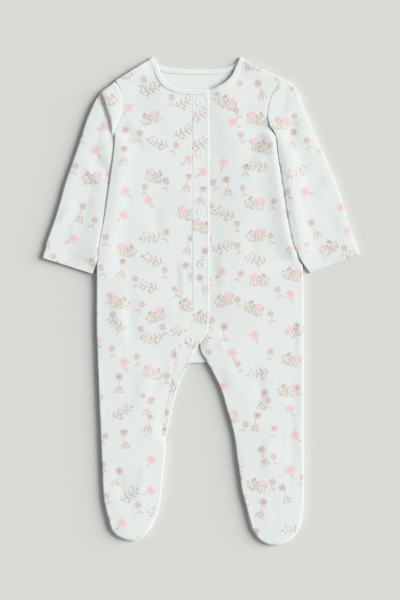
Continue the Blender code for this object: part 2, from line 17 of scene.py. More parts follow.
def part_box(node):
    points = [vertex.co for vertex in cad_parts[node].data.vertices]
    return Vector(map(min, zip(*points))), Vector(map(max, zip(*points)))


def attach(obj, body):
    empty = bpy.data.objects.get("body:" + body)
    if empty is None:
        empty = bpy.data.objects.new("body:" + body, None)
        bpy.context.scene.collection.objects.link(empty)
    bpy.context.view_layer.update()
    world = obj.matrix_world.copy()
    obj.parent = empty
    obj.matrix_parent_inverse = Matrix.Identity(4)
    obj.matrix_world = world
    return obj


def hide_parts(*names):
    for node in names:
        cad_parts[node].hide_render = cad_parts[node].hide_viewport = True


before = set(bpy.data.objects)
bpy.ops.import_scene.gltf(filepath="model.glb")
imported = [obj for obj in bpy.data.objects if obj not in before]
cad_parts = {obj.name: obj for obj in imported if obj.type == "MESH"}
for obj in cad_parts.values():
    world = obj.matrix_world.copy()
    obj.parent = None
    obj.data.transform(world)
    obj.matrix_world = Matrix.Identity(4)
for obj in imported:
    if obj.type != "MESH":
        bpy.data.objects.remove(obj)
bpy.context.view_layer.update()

MM = 0.001

# Cloth
WALL = 1.0             # knit thickness
SEAM_CLOSE = 0.12      # each shell reaches this far into the gap at a sewn seam
SEAM_LAP = 0.45        # and a front this far over the edge of its band and binding
FREE_ROLL = 0.9        # radius over which a turned edge comes down
CORNER_ANGLE = 38.0    # sharper bends of an outline stay corners, in degrees
RINGS = (0.3, 0.75, 1.5, 2.6)   # rows of points just inside every outline

# Ends of the seams
UNDERARM_Y = {"right": 208.5, "left": 206.8}
OPENING_END_Y = -165.0    # the leg opening is sewn shut below this
CROTCH_TOP_Y = -50.0      # the left front is hidden under the band above this
TOE_Y = -246.0            # the soles' edges turn up from here to the toes
TOE_INSET = 1.0           # a sole's rolled edge shows outside its front by this much
OUTLINE_STEP = 1.2        # spacing of outline points before they are moved

SIDES = ("right", "left")


# ---------------------------------------------------------------- reading the frame

def merged(node):
    """Points in millimetres and triangles of a CAD node, with doubled points joined."""
    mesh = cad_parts[node].data
    mesh.calc_loop_triangles()
    points = np.empty(len(mesh.vertices) * 3, np.float32)
    mesh.vertices.foreach_get("co", points)
    points = points.reshape(-1, 3).astype(float) / MM
    triangles = np.empty(len(mesh.loop_triangles) * 3, np.int32)
    mesh.loop_triangles.foreach_get("vertices", triangles)
    keys = np.round(points / 0.01).astype(np.int64)
    _, first, number = np.unique(keys, axis=0, return_index=True, return_inverse=True)
    return points[first], number.reshape(-1)[triangles].reshape(-1, 3)


def facing(points, triangles, sign):
    """Triangles of the highest layer that faces up (sign 1) or the lowest that faces down (-1)."""
    a, b, c = (points[triangles[:, k]] for k in range(3))
    normal = np.cross(b - a, c - a)
    length = np.maximum(np.linalg.norm(normal, axis=1), 1e-9)
    kept = triangles[sign * normal[:, 2] > 0.35 * length]
    group = {}

    def root(i):
        while group.setdefault(i, i) != i:
            group[i] = group[group[i]]
            i = group[i]
        return i

    for i, j, k in kept.tolist():
        group[root(j)] = root(i)
        group[root(k)] = root(i)
    roots = np.array([root(i) for i in kept[:, 0].tolist()])
    heights = sign * points[kept].mean(axis=1)[:, 2]
    best = max(set(roots.tolist()), key=lambda r: heights[roots == r].mean())
    return kept[roots == best]


def boundary(triangles):
    """Point numbers round the open edge of a set of triangles, in order."""
    open_edges = {}
    for triangle in triangles.tolist():
        for start, end in zip(triangle, triangle[1:] + triangle[:1]):
            if (end, start) in open_edges:
                del open_edges[(end, start)]
            else:
                open_edges[(start, end)] = True
    following = {start: end for start, end in open_edges}
    start = next(iter(following))
    loop = [start]
    while following[loop[-1]] != start:
        loop.append(following[loop[-1]])
    return loop


def node_tree_of(node, sign=None):
    points, triangles = merged(node)
    if sign is not None:
        triangles = facing(points, triangles, sign)
    return BVHTree.FromPolygons(points.tolist(), triangles.tolist())


# ---------------------------------------------------------------- plan shapes

def smoothstep(value):
    value = np.clip(value, 0.0, 1.0)
    return value * value * (3.0 - 2.0 * value)


def bends(loop):
    """Angle of the turn at each point of a closed loop, in degrees."""
    before = loop - np.roll(loop, 1, axis=0)
    after = np.roll(loop, -1, axis=0) - loop
    cross = before[:, 0] * after[:, 1] - before[:, 1] * after[:, 0]
    dot = (before * after).sum(axis=1)
    return np.degrees(np.abs(np.arctan2(cross, dot)))


def curve_between(p0, p1, p2, p3, f):
    """Centripetal Catmull-Rom points between p1 and p2 at the fractions f."""
    t01, t12, t23 = (max(np.linalg.norm(b - a), 1e-6) ** 0.5
                     for a, b in ((p0, p1), (p1, p2), (p2, p3)))
    m1 = p2 - p1 + t12 * ((p1 - p0) / t01 - (p2 - p0) / (t01 + t12))
    m2 = p2 - p1 + t12 * ((p3 - p2) / t23 - (p3 - p1) / (t12 + t23))
    a = 2.0 * (p1 - p2) + m1 + m2
    b = -3.0 * (p1 - p2) - 2.0 * m1 - m2
    f = f[:, None]
    return ((a * f + b) * f + m1) * f + p1


def smooth_loop(loop, step):
    """Closed loop resampled about every `step`, smooth except at its corners."""
    corner = bends(loop) > CORNER_ANGLE
    count = len(loop)
    made = []
    corners = []
    for i in range(count):
        p1, p2 = loop[i], loop[(i + 1) % count]
        p0 = 2 * p1 - p2 if corner[i] else loop[i - 1]
        p3 = 2 * p2 - p1 if corner[(i + 1) % count] else loop[(i + 2) % count]
        if corner[i]:
            corners.append(sum(len(m) for m in made))
        pieces = max(1, round(np.linalg.norm(p2 - p1) / step))
        made.append(curve_between(p0, p1, p2, p3, np.arange(pieces) / pieces))
    return np.concatenate(made), corners


def inward(loop):
    """Unit vectors into a counter-clockwise loop at each of its points."""
    tangent = np.roll(loop, -1, axis=0) - np.roll(loop, 1, axis=0)
    tangent /= np.maximum(np.linalg.norm(tangent, axis=1), 1e-9)[:, None]
    return np.stack((-tangent[:, 1], tangent[:, 0]), axis=1)


def inside(loop, points):
    """For each plan point, whether it lies in the loop."""
    found = np.zeros(len(points), bool)
    x, y = points[:, 0], points[:, 1]
    for (ax, ay), (bx, by) in zip(loop, np.roll(loop, -1, axis=0)):
        if ay == by:
            continue
        across = (ay > y) != (by > y)
        found ^= across & (x < (bx - ax) * (y - ay) / (by - ay) + ax)
    return found


class Line:
    """Plan points in order with their length along the line, for nearest-point questions."""

    def __init__(self, points):
        self.points = np.asarray(points, float)
        self.tree = KDTree(len(self.points))
        for i, (x, y) in enumerate(self.points.tolist()):
            self.tree.insert((x, y, 0.0), i)
        self.tree.balance()
        gaps = np.linalg.norm(np.diff(self.points, axis=0), axis=1)
        self.length = np.concatenate(([0.0], np.cumsum(gaps)))

    def nearest(self, plan):
        """Distance to the line, and the number of its nearest point, for each plan point."""
        found = [self.tree.find((x, y, 0.0)) for x, y in plan.tolist()]
        return np.array([f[2] for f in found]), np.array([f[1] for f in found])


Net = namedtuple("Net", "plan faces rim")


def make_net(loop, step):
    """Triangles over the inside of an outline: its own points, rows beside them, then a lattice."""
    outline, _ = smooth_loop(loop, step)
    fine, _ = smooth_loop(loop, 0.35)
    edge = Line(fine)
    rows = []
    for number, away in enumerate(RINGS):
        row = (outline + inward(outline) * away)[number % 2::1 if number < 2 else 1]
        distance, _ = edge.nearest(row)
        row = row[(distance > 0.93 * away) & inside(outline, row)]
        rows.append(thinned(row, 0.55 * step))
    low, high = outline.min(axis=0), outline.max(axis=0)
    across = np.arange(low[0], high[0], step)
    lattice = []
    for number, y in enumerate(np.arange(low[1], high[1], step * math.sqrt(0.75))):
        lattice.append(np.stack((across + 0.5 * step * (number % 2), np.full(len(across), y)), 1))
    lattice = np.concatenate(lattice)
    lattice = lattice[inside(outline, lattice)]
    distance, _ = edge.nearest(lattice)
    lattice = lattice[distance > RINGS[-1] + 0.6 * step]
    points = np.concatenate([outline] + rows + [lattice])
    count = len(outline)
    edges = [(i, (i + 1) % count) for i in range(count)]
    made, _, faces, origins, _, _ = delaunay_2d_cdt(
        [Vector(p) for p in points.tolist()], edges, [], 1, 1e-5)
    plan = np.array([tuple(p) for p in made])
    new_number = {}
    for number, sources in enumerate(origins):
        for source in sources:
            new_number[source] = number
    rim = [new_number[i] for i in range(count)]
    faces = np.array(faces)
    a, b, c = (plan[faces[:, k]] for k in range(3))
    turn = (b[:, 0] - a[:, 0]) * (c[:, 1] - a[:, 1]) - (b[:, 1] - a[:, 1]) * (c[:, 0] - a[:, 0])
    faces[turn < 0] = faces[turn < 0][:, ::-1]
    return Net(plan, faces, rim)


def thinned(row, least):
    """Points of a row without those closer than `least` to the one kept before."""
    kept = []
    for point in row.tolist():
        if not kept or math.dist(point, kept[-1]) >= least:
            kept.append(point)
    return np.array(kept).reshape(-1, 2)


def relaxed(net, z, rounds):
    """Heights smoothed over the net."""
    pairs = np.concatenate([net.faces[:, (0, 1)], net.faces[:, (1, 2)], net.faces[:, (2, 0)]])
    a, b = np.unique(np.sort(pairs, axis=1), axis=0).T
    count = len(net.plan)
    degree = np.maximum(np.bincount(a, minlength=count) + np.bincount(b, minlength=count), 1)
    for _ in range(rounds):
        total = np.bincount(a, z[b], count) + np.bincount(b, z[a], count)
        z = 0.5 * z + 0.5 * total / degree
    return z


# ---------------------------------------------------------------- heights

def cast(tree, plan, sign):
    """Height of a layer over each plan point, taken from its nearest point where it ends."""
    heights = np.empty(len(plan))
    for i, (x, y) in enumerate(plan.tolist()):
        hit = tree.ray_cast((x, y, 100.0 * sign), (0.0, 0.0, -sign))
        if hit[0] is None:
            hit = tree.find_nearest((x, y, 2.0))
        heights[i] = hit[0].z
    return heights


def undulation(plan, seed, height, lengths=(38.0, 57.0, 83.0)):
    """Gentle uneven relief of cloth that was smoothed out by hand."""
    rng = np.random.RandomState(seed)
    total = np.zeros(len(plan))
    for length in lengths:
        for _ in range(3):
            angle = rng.uniform(0.0, math.pi)
            wave = 2 * math.pi / (length * rng.uniform(0.8, 1.25))
            phase = rng.uniform(0.0, 2 * math.pi)
            along = plan[:, 0] * math.cos(angle) + plan[:, 1] * math.sin(angle)
            bend = 6.0 * np.sin((plan[:, 0] * math.sin(angle) - plan[:, 1] * math.cos(angle)) / 31.0)
            total += np.sin(wave * (along + bend) + phase) * length / lengths[-1]
    return height * total / 3.0


Crease = namedtuple("Crease", "height left right points")


def beside_line(points, plan):
    """Distance of each plan point from a bent line, its side (1 left, -1 right), and how far along."""
    points = np.array(points, float)
    legs = np.linalg.norm(np.diff(points, axis=0), axis=1)
    away = np.full(len(plan), 1e9)
    side = np.zeros(len(plan))
    along = np.zeros(len(plan))
    done = 0.0
    for a, b, leg in zip(points, points[1:], legs):
        direction = (b - a) / leg
        offset = plan - a
        t = np.clip(offset @ direction, 0.0, leg)
        distance = np.linalg.norm(offset - t[:, None] * direction, axis=1)
        cross = direction[0] * offset[:, 1] - direction[1] * offset[:, 0]
        nearer = distance < away
        away = np.where(nearer, distance, away)
        side = np.where(nearer, np.sign(cross), side)
        along = np.where(nearer, (done + t) / legs.sum(), along)
        done += leg
    return away, side, along


def crease_lift(plan, crease):
    """Lift of one ridge (or trough, below 0), with its own width on either side of its line."""
    away, side, along = beside_line(crease.points, plan)
    width = np.where(side > 0, crease.left, crease.right)
    taper = smoothstep(along / 0.3) * smoothstep((1.0 - along) / 0.3)
    return crease.height * np.exp(-(away / width) ** 2) * (0.15 + 0.85 * taper)


def creased(plan, creases):
    """Lift of all the creases of a piece together."""
    return sum((crease_lift(plan, Crease(*crease)) for crease in creases), np.zeros(len(plan)))


def puckers(line, plan, seed, height, length, reach):
    """Small waves that a seam draws into the cloth beside it."""
    if len(line.points) < 3:
        return np.zeros(len(plan))
    rng = np.random.RandomState(seed)
    distance, nearest = line.nearest(plan)
    place = line.length[nearest]
    knots = np.arange(0.0, line.length[-1] + 3 * length, length)
    shift = np.interp(place, knots, rng.uniform(-0.35, 0.35, len(knots)) * length)
    strength = np.interp(place, knots, rng.uniform(0.15, 1.0, len(knots)))
    wave = np.sin(2 * math.pi * (place + shift) / length)
    return height * strength * wave * np.exp(-distance / reach) * smoothstep(distance / 1.5)


def rounded(distance, radius):
    """Quarter-round profile: 0 at the edge, 1 from `radius` inwards."""
    left = 1.0 - np.clip(distance / radius, 0.0, 1.0)
    return np.sqrt(np.maximum(1.0 - left * left, 0.0))


# Extra height of a panel beside its turned edges, over the CAD's slower rise
FULLNESS = ((0.0, 1.9), (1.5, 2.0), (5.0, 1.85), (10.0, 1.45), (16.0, 0.98), (22.0, 0.6),
            (30.0, 0.2), (40.0, 0.0))
# Extra height of the left front beside and beneath the overlapping band, by distance from its edge
BESIDE_BAND = ((0.0, 1.4), (4.0, 1.15), (10.0, 0.75), (20.0, 0.3), (34.0, 0.0))


def fullness(distance, table=FULLNESS):
    """Extra height at a distance, from a table of distances and heights."""
    place, extra = np.array(table).T
    return np.interp(distance, place, extra)


def rolled(top, low, shape, least=0.0):
    """Both faces drawn towards the middle of the cloth where the shape falls below 1."""
    middle = 0.5 * (top + low)
    share = least + (1.0 - least) * shape
    return middle + (top - middle) * share, middle - (middle - low) * share


def window(value, start, end, fade_in, fade_out):
    """1 between two values, fading to 0 over the given lengths inside its ends."""
    return smoothstep((end - value) / fade_out) * smoothstep((value - start) / fade_in)


# ---------------------------------------------------------------- meshes

def add_piece(name, points, faces, cloth_xy, printed):
    """Mesh piece from points in millimetres, with cloth coordinates and a printed-face mask."""
    mesh = bpy.data.meshes.new(name)
    mesh.from_pydata((np.asarray(points) * MM).tolist(), [], faces)
    mesh.validate()
    corners = np.empty(len(mesh.loops), np.int32)
    mesh.loops.foreach_get("vertex_index", corners)
    uv = mesh.uv_layers.new(name="cloth")
    uv.data.foreach_set("uv", (np.asarray(cloth_xy)[corners] * MM).astype(np.float32).ravel())
    mask = mesh.attributes.new("printed", "FLOAT", "FACE")
    mask.data.foreach_set("value", np.asarray(printed, np.float32))
    mesh.shade_smooth()
    obj = bpy.data.objects.new(name, mesh)
    bpy.context.scene.collection.objects.link(obj)
    return obj


def turned_plan(plan, angle, shift):
    """Cloth coordinates of a piece: its plan turned and moved along the roll that it was cut from."""
    c, s = math.cos(math.radians(angle)), math.sin(math.radians(angle))
    return np.stack((plan[:, 0] * c - plan[:, 1] * s + shift[0],
                     plan[:, 0] * s + plan[:, 1] * c + shift[1]), axis=1)


def panel_piece(name, net, top, low, cloth, print_side):
    """Closed shell between a top and a lower surface over the same net."""
    count = len(net.plan)
    upper = np.column_stack((net.plan, top))
    lower = np.column_stack((net.plan, low))
    rim = np.array(net.rim)
    outline = net.plan[rim]
    middle = np.column_stack((outline - 0.22 * inward(outline), 0.5 * (top[rim] + low[rim])))
    points = np.concatenate((upper, lower, middle))
    faces = [tuple(f) for f in net.faces.tolist()]
    faces += [tuple(f) for f in (net.faces[:, ::-1] + count).tolist()]
    panels = len(net.faces)
    rings = len(rim)
    for i in range(rings):
        j = (i + 1) % rings
        faces.append((rim[i], 2 * count + i, 2 * count + j, rim[j]))
        faces.append((2 * count + i, rim[i] + count, rim[j] + count, 2 * count + j))
    printed = [1.0 if print_side > 0 else 0.0] * panels
    printed += [1.0 if print_side < 0 else 0.0] * panels
    printed += [1.0] * (2 * rings)
    cloth = np.concatenate((cloth, cloth, cloth[rim]))
    return add_piece(name, points, faces, cloth, printed)


def tree_of(obj):
    """Ray-cast tree of a finished piece, in millimetres."""
    mesh = obj.data
    points = [tuple(v.co / MM) for v in mesh.vertices]
    return BVHTree.FromPolygons(points, [tuple(p.vertices) for p in mesh.polygons])


# ---------------------------------------------------------------- panels

def top_loop(node):
    points, triangles = merged(node)
    layer = facing(points, triangles, 1)
    return points[boundary(layer)][:, :2]


def near(outline, z, node, reach):
    """For each outline point, whether it lies beside that CAD node."""
    tree = node_tree_of(node)
    found = []
    for (x, y), height in zip(outline.tolist(), z.tolist()):
        hit = tree.find_nearest((x, y, height))
        found.append(hit[0] is not None and hit[3] < reach)
    return np.array(found)


def shift_outline(loop, amount):
    """Loop moved outward by an amount given for each point."""
    return loop - inward(loop) * np.asarray(amount)[:, None]


def dense_loop(node, step=OUTLINE_STEP):
    """The smooth outline of a node's top, dense enough to be moved point by point."""
    outline, _ = smooth_loop(top_loop(node), step)
    return outline


def lap_rise(node, plan, reach, lead):
    """1 just outside another piece's outline, fading over the reach; 0 well under that piece."""
    loop = dense_loop(node, 1.5)
    away, _ = Line(loop).nearest(plan)
    away = np.where(inside(loop, plan), -away, away)
    return smoothstep((away + lead) / 2.2) * np.exp(-(np.maximum(away, 0.0) / reach) ** 2)


FRONT_STEP = 1.7          # spacing of the shells' points
BACK_STEP = 2.4
SEAM_FULLNESS = {"right": 0.40, "left": 0.27}     # share of the fullness left at a binding
FREE_GROW = 1.1           # cloth turned over at a free edge stands out by this much
SHADED_GROW = 0.8         # and by this much more where it faces the wearer's right
BODY_OVER_SLEEVE = (45.0, 194.0)    # heights between which the right side covers its sleeve
SLEEVE_OVER_BODY = (46.0, 209.0)    # and the left sleeve covers its side
BODY_RISE = 2.8           # the body swells this much beside the sleeve that lies on it
SLEEVE_RISE = (2.3, 1.2)  # and a sleeve this much beside the body on it, near the cuff and above
RISE_REACH = 20.0
SEAM_GROOVE = 0.06        # depth of the line that the armhole's stitches press in
RELIEF = 0.16             # height of the panels' gentle unevenness
RELIEF_SEED = {"right": 11, "left": 23}
# height, width to its left, width to its right, points from end to end
FRONT_CREASES = {
    "right": (
        (-0.32, 4.2, 6.0, ((-27.5, 62.0), (-28.5, 40.0), (-27.0, 14.0), (-25.0, -26.0))),
        (0.28, 4.5, 6.5, ((-20.5, 60.0), (-20.0, 34.0), (-19.0, -18.0))),
        (-0.6, 9.0, 6.0, ((-84.0, 20.0), (-86.0, -12.0), (-82.0, -58.0))),
        (0.55, 7.0, 9.0, ((-92.0, 18.0), (-94.0, -14.0), (-90.0, -56.0))),
        (-0.7, 7.0, 10.0, ((-42.0, -66.0), (-50.0, -92.0), (-62.0, -122.0))),
        (0.6, 8.0, 9.0, ((-55.0, -70.0), (-66.0, -100.0), (-74.0, -136.0))),
        (-0.7, 6.0, 9.0, ((-92.0, 206.0), (-80.0, 190.0), (-66.0, 178.0))),
        (0.6, 8.0, 8.0, ((-88.0, 222.0), (-74.0, 206.0), (-58.0, 196.0))),
        (-0.55, 8.0, 7.0, ((-60.0, 120.0), (-52.0, 96.0), (-48.0, 70.0))),
        (-0.6, 8.0, 6.0, ((-100.0, -196.0), (-96.0, -222.0), (-88.0, -246.0))),
        (0.6, 7.0, 8.0, ((-66.0, -190.0), (-68.0, -216.0), (-76.0, -240.0))),
    ),
    "left": (
        (0.35, 5.0, 7.0, ((25.5, 56.0), (27.0, 38.0), (27.5, 18.0))),
        (-0.25, 5.0, 4.0, ((16.5, 60.0), (17.0, 36.0), (18.0, 10.0))),
        (0.5, 4.0, 6.0, ((18.0, -32.0), (24.0, -46.0), (31.0, -62.0))),
        (0.5, 8.0, 9.0, ((32.0, -76.0), (38.0, -92.0), (42.0, -108.0))),
        (-0.4, 5.0, 6.0, ((112.0, -20.0), (112.5, -38.0), (112.0, -60.0))),
        (0.35, 4.0, 5.0, ((119.0, -18.0), (119.5, -40.0), (119.0, -64.0))),
        (-0.4, 6.0, 5.0, ((112.0, -70.0), (111.0, -120.0), (110.0, -180.0), (107.0, -240.0))),
        (-0.6, 8.0, 7.0, ((74.0, 206.0), (66.0, 190.0), (54.0, 176.0))),
        (0.6, 9.0, 7.0, ((78.0, 178.0), (66.0, 160.0), (52.0, 146.0))),
        (-0.55, 9.0, 7.0, ((70.0, 96.0), (62.0, 70.0), (60.0, 40.0))),
        (-0.6, 8.0, 8.0, ((62.0, -64.0), (70.0, -96.0), (72.0, -132.0))),
        (0.55, 8.0, 9.0, ((86.0, -150.0), (82.0, -184.0), (84.0, -214.0))),
    ),
}
FRONT_CLOTH = {"right": (0.0, (0.0, 0.0)), "left": (0.0, (23.0, -37.0))}


def front_outline(side):
    """The CAD outline, closed up at its sewn edges and drawn in where the sole's edge shows."""
    loop = dense_loop("front_" + side)
    z = cast(node_tree_of("front_" + side, 1), loop, 1)
    bound = near(loop, z, "neckband", 1.2)
    if side == "right":
        bound |= near(loop, z, "band_over", 1.2) & (loop[:, 1] > OPENING_END_Y)
    joined = bound | near(loop, z, "band_over", 1.2)
    joined |= near(loop, z, "sleeve_" + side, 1.2) & (loop[:, 1] > UNDERARM_Y[side])
    toe = smoothstep((TOE_Y + 14.0 - loop[:, 1]) / 34.0)
    shaded = np.clip(inward(loop)[:, 0], 0.0, 1.0)
    grown = (FREE_GROW + SHADED_GROW * shaded) * (1.0 - toe) - TOE_INSET * toe
    return shift_outline(loop, np.where(bound, SEAM_LAP, np.where(joined, SEAM_CLOSE, grown)))


def edge_lines(node, net, side):
    """The free, armhole and other sewn stretches of a front's outline, each as a line."""
    outline = net.plan[net.rim]
    z = cast(node_tree_of(node, 1), outline, 1)
    sewn = near(outline, z, "neckband", 1.3)
    if side == "right":
        sewn |= near(outline, z, "band_over", 1.3) & (outline[:, 1] > OPENING_END_Y)
    else:
        inner_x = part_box(node)[0].x / MM
        sewn |= (outline[:, 0] < inner_x + 6.5) & (outline[:, 1] > CROTCH_TOP_Y)
    armhole = near(outline, z, "sleeve_" + side, 1.3) & (outline[:, 1] > UNDERARM_Y[side])
    return Line(outline[~(sewn | armhole)]), Line(outline[armhole]), Line(outline[sewn])


def make_front(side):
    node = "front_" + side
    net = make_net(front_outline(side), FRONT_STEP)
    free, armhole, sewn = edge_lines(node, net, side)
    from_free, _ = free.nearest(net.plan)
    from_armhole, _ = armhole.nearest(net.plan)
    from_sewn, _ = sewn.nearest(net.plan)
    z = relaxed(net, cast(node_tree_of(node, 1), net.plan, 1), 30)
    open_air = np.ones(len(net.plan))
    if side == "left":
        covered = near(net.plan, z, "sleeve_left", 1.3) & (net.plan[:, 1] < UNDERARM_Y[side])
        open_air = 1.0 - np.clip(1.6 * relaxed(net, covered.astype(float), 10), 0.0, 1.0)
        from_inner = net.plan[:, 0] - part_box(node)[0].x / MM
        z += fullness(from_inner, BESIDE_BAND) * smoothstep((net.plan[:, 1] + 58.0) / 10.0)
        z += BODY_RISE * lap_rise("sleeve_left", net.plan, RISE_REACH, 2.2) \
            * window(net.plan[:, 1], *SLEEVE_OVER_BODY, 14.0, 12.0)
    else:
        low, high = BODY_OVER_SLEEVE
        from_side = np.maximum(net.plan[:, 0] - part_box(node)[0].x / MM, 0.0)
        lap = window(net.plan[:, 1], low - 8.0, high + 8.0, 14.0, 14.0)
        lap *= np.exp(-(from_side / 45.0) ** 2)
        open_air = 1.0 - 0.85 * lap
    full = fullness(np.minimum(from_free, from_armhole)) * open_air
    share = SEAM_FULLNESS[side]
    z += full * (share + (1.0 - share) * smoothstep(from_sewn / 12.0))
    z += (creased(net.plan, FRONT_CREASES[side])
          + undulation(net.plan, RELIEF_SEED[side], RELIEF)) \
        * smoothstep((from_free - 1.0) / 6.0) * open_air
    z += puckers(free, net.plan, 5, 0.10, 11.0, 5.0) * open_air
    z += puckers(armhole, net.plan, 7, 0.08, 9.0, 5.0)
    z -= SEAM_GROOVE * np.exp(-(from_armhole / 0.8) ** 2)
    base = np.minimum(z, cast(node_tree_of(node, -1), net.plan, -1) - 0.1)
    z = base + (z - base) * rounded(from_free, FREE_ROLL)
    wall = WALL * (0.55 + 0.45 * rounded(from_free, 1.5))
    low = z - wall
    cloth = turned_plan(net.plan, *FRONT_CLOTH[side])
    return panel_piece("front_panel_" + side, net, z, low, cloth, 1)


BACK_CREASES = (
    (0.55, 8.0, 10.0, ((-70.0, 170.0), (-60.0, 120.0), (-58.0, 64.0))),
    (0.5, 9.0, 7.0, ((62.0, 132.0), (72.0, 84.0), (66.0, 30.0))),
    (0.6, 7.0, 9.0, ((-20.0, -28.0), (-38.0, -62.0), (-60.0, -96.0))),
    (0.55, 9.0, 8.0, ((22.0, -34.0), (44.0, -70.0), (60.0, -118.0))),
    (0.45, 6.0, 8.0, ((-84.0, -140.0), (-80.0, -180.0), (-84.0, -214.0))),
    (0.5, 8.0, 7.0, ((88.0, -150.0), (82.0, -186.0), (84.0, -216.0))),
    (0.4, 7.0, 7.0, ((10.0, 236.0), (4.0, 190.0), (8.0, 140.0))),
)


def make_back():
    net = make_net(dense_loop("back"), BACK_STEP)
    outline = net.plan[net.rim]
    edge, _ = Line(outline).nearest(net.plan)
    top = relaxed(net, cast(node_tree_of("back", 1), net.plan, 1), 6)
    low = relaxed(net, cast(node_tree_of("back", -1), net.plan, -1), 6)
    low = np.maximum(low, 0.0)
    low += creased(net.plan, BACK_CREASES).clip(0.0) * smoothstep((edge - 2.0) / 8.0)
    low += puckers(Line(outline), net.plan, 13, 0.14, 12.0, 5.0).clip(0.0)
    top = np.maximum(top, low + 0.55)
    top, low = rolled(top, low, rounded(edge, 1.3), 0.3)
    return panel_piece("back_panel", net, top, low, turned_plan(net.plan, 0.0, (9.0, 31.0)), -1)


SOLE_STITCH = 2.2         # the soles' stitches run this far inside their edge
SOLE_RIM = 1.5            # its edge stands up this much round the toes
CLOTH_THICK = 1.1         # the CAD's wall


def make_sole(side):
    node = "sole_" + side
    net = make_net(dense_loop(node), FRONT_STEP)
    outline = net.plan[net.rim]
    edge, _ = Line(outline).nearest(net.plan)
    toe = smoothstep((TOE_Y - net.plan[:, 1]) / 14.0)
    beside_edge = np.exp(-(np.maximum(edge - 1.2, 0.0) / 0.9) ** 2)
    top = CLOTH_THICK + SOLE_RIM * toe * beside_edge
    low = 0.4 * np.exp(-((edge - SOLE_STITCH) / 1.1) ** 2)
    low += puckers(Line(outline), net.plan, 29, 0.12, 6.0, 4.0).clip(0.0)
    top, low = rolled(top, low, rounded(edge, 1.1), 0.25)
    return panel_piece("sole_panel_" + side, net, top, low,
                       turned_plan(net.plan, 8.0, (41.0, 12.0)), -1)


def make_band(node, name, step, printed):
    """One of the two snap bands: a folded strip with soft edges."""
    net = make_net(dense_loop(node, 1.0), step)
    outline = net.plan[net.rim]
    top = relaxed(net, cast(node_tree_of(node, 1), net.plan, 1), 20)
    top += undulation(net.plan, 31, 0.07, (17.0, 29.0, 46.0))
    if node == "band_over":
        for number in SNAPS:
            low, high = (np.array(c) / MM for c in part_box(f"snap_cap_{number}"))
            centre = 0.5 * (low + high)[:2]
            away = np.linalg.norm(net.plan - centre, axis=1)
            top -= 0.10 * np.exp(-((away - 6.0) / 2.4) ** 2)
    rim_z = cast(node_tree_of(node, 1), outline, 1)
    sewn = near(outline, rim_z, "front_right" if node == "band_over" else "neckband", 1.2)
    sewn |= near(outline, rim_z, "neckband", 1.2)
    from_free, _ = Line(outline[~sewn]).nearest(net.plan)
    from_sewn = Line(outline[sewn]).nearest(net.plan)[0]
    top -= 0.13 * np.exp(-(from_sewn / 1.0) ** 2)
    top, low = rolled(top, top - WALL, rounded(from_free, 0.6), 0.2)
    return panel_piece(name, net, top, low, turned_plan(net.plan, 0.0, (-17.0, 15.0)), printed)


SNAPS = range(1, 6)


# ---------------------------------------------------------------- sleeves

SLEEVE_CREASES = {
    "right": (
        (-0.8, 7.0, 9.0, ((-128.0, 176.0), (-116.0, 160.0), (-106.0, 150.0))),
        (0.6, 7.0, 7.0, ((-140.0, 168.0), (-128.0, 150.0), (-114.0, 138.0))),
        (-0.6, 6.0, 8.0, ((-158.0, 120.0), (-142.0, 116.0), (-126.0, 120.0))),
        (-0.5, 7.0, 6.0, ((-166.0, 78.0), (-156.0, 96.0), (-146.0, 112.0))),
        (0.5, 6.0, 7.0, ((-172.0, 92.0), (-160.0, 104.0), (-150.0, 124.0))),
    ),
    "left": (
        (-0.8, 7.0, 8.0, ((118.0, 226.0), (110.0, 206.0), (106.0, 186.0))),
        (0.6, 7.0, 8.0, ((106.0, 232.0), (99.0, 214.0), (97.0, 196.0))),
        (-0.6, 8.0, 6.0, ((150.0, 150.0), (134.0, 140.0), (118.0, 138.0))),
        (0.5, 8.0, 6.0, ((154.0, 132.0), (140.0, 122.0), (122.0, 122.0))),
        (-0.5, 6.0, 8.0, ((166.0, 78.0), (156.0, 96.0), (144.0, 108.0))),
    ),
}
SLEEVE_UNDER_CREASES = {
    "right": (
        (0.7, 7.0, 9.0, ((-122.0, 190.0), (-132.0, 166.0), (-138.0, 140.0))),
        (0.55, 8.0, 6.0, ((-150.0, 128.0), (-140.0, 108.0), (-136.0, 84.0))),
    ),
    "left": (
        (0.7, 9.0, 7.0, ((112.0, 196.0), (126.0, 170.0), (134.0, 146.0))),
        (0.5, 6.0, 9.0, ((146.0, 132.0), (138.0, 112.0), (132.0, 92.0))),
    ),
}
SLEEVE_TURN = {"right": 17.0, "left": -17.0}
SHOULDER_FOLD = ((-120.5, 256.0), (-115.6, 243.0), (-111.8, 230.0), (-107.8, 219.0),
                 (-105.6, 207.0), (-103.0, 192.0))
FOLD_RIDGE, FOLD_TROUGH = 1.9, 0.7
CUFF_HEM = 13.0           # from the cuff's edge to the middle of its two rows of stitches
CUFF_ROWS = (-1.2, 1.6)   # the rows, from there
ARMHOLE_FULLNESS = 1.7
SLEEVE_FULLNESS = {"right": 0.9, "left": 0.6}


def fold_step(plan):
    """Height of the deep fold at the top of the right sleeve: its armhole side overhangs."""
    away, side, along = beside_line(SHOULDER_FOLD, plan)
    signed = away * side
    strength = smoothstep(along / 0.2) * smoothstep((1.0 - along) / 0.25)
    ridge = np.where(signed > 0, np.exp(-(signed / 11.0) ** 2), np.exp(-(signed / 1.1) ** 2))
    trough = np.exp(-((signed + 4.0) / 3.0) ** 2)
    return strength * (FOLD_RIDGE * ridge - FOLD_TROUGH * trough)


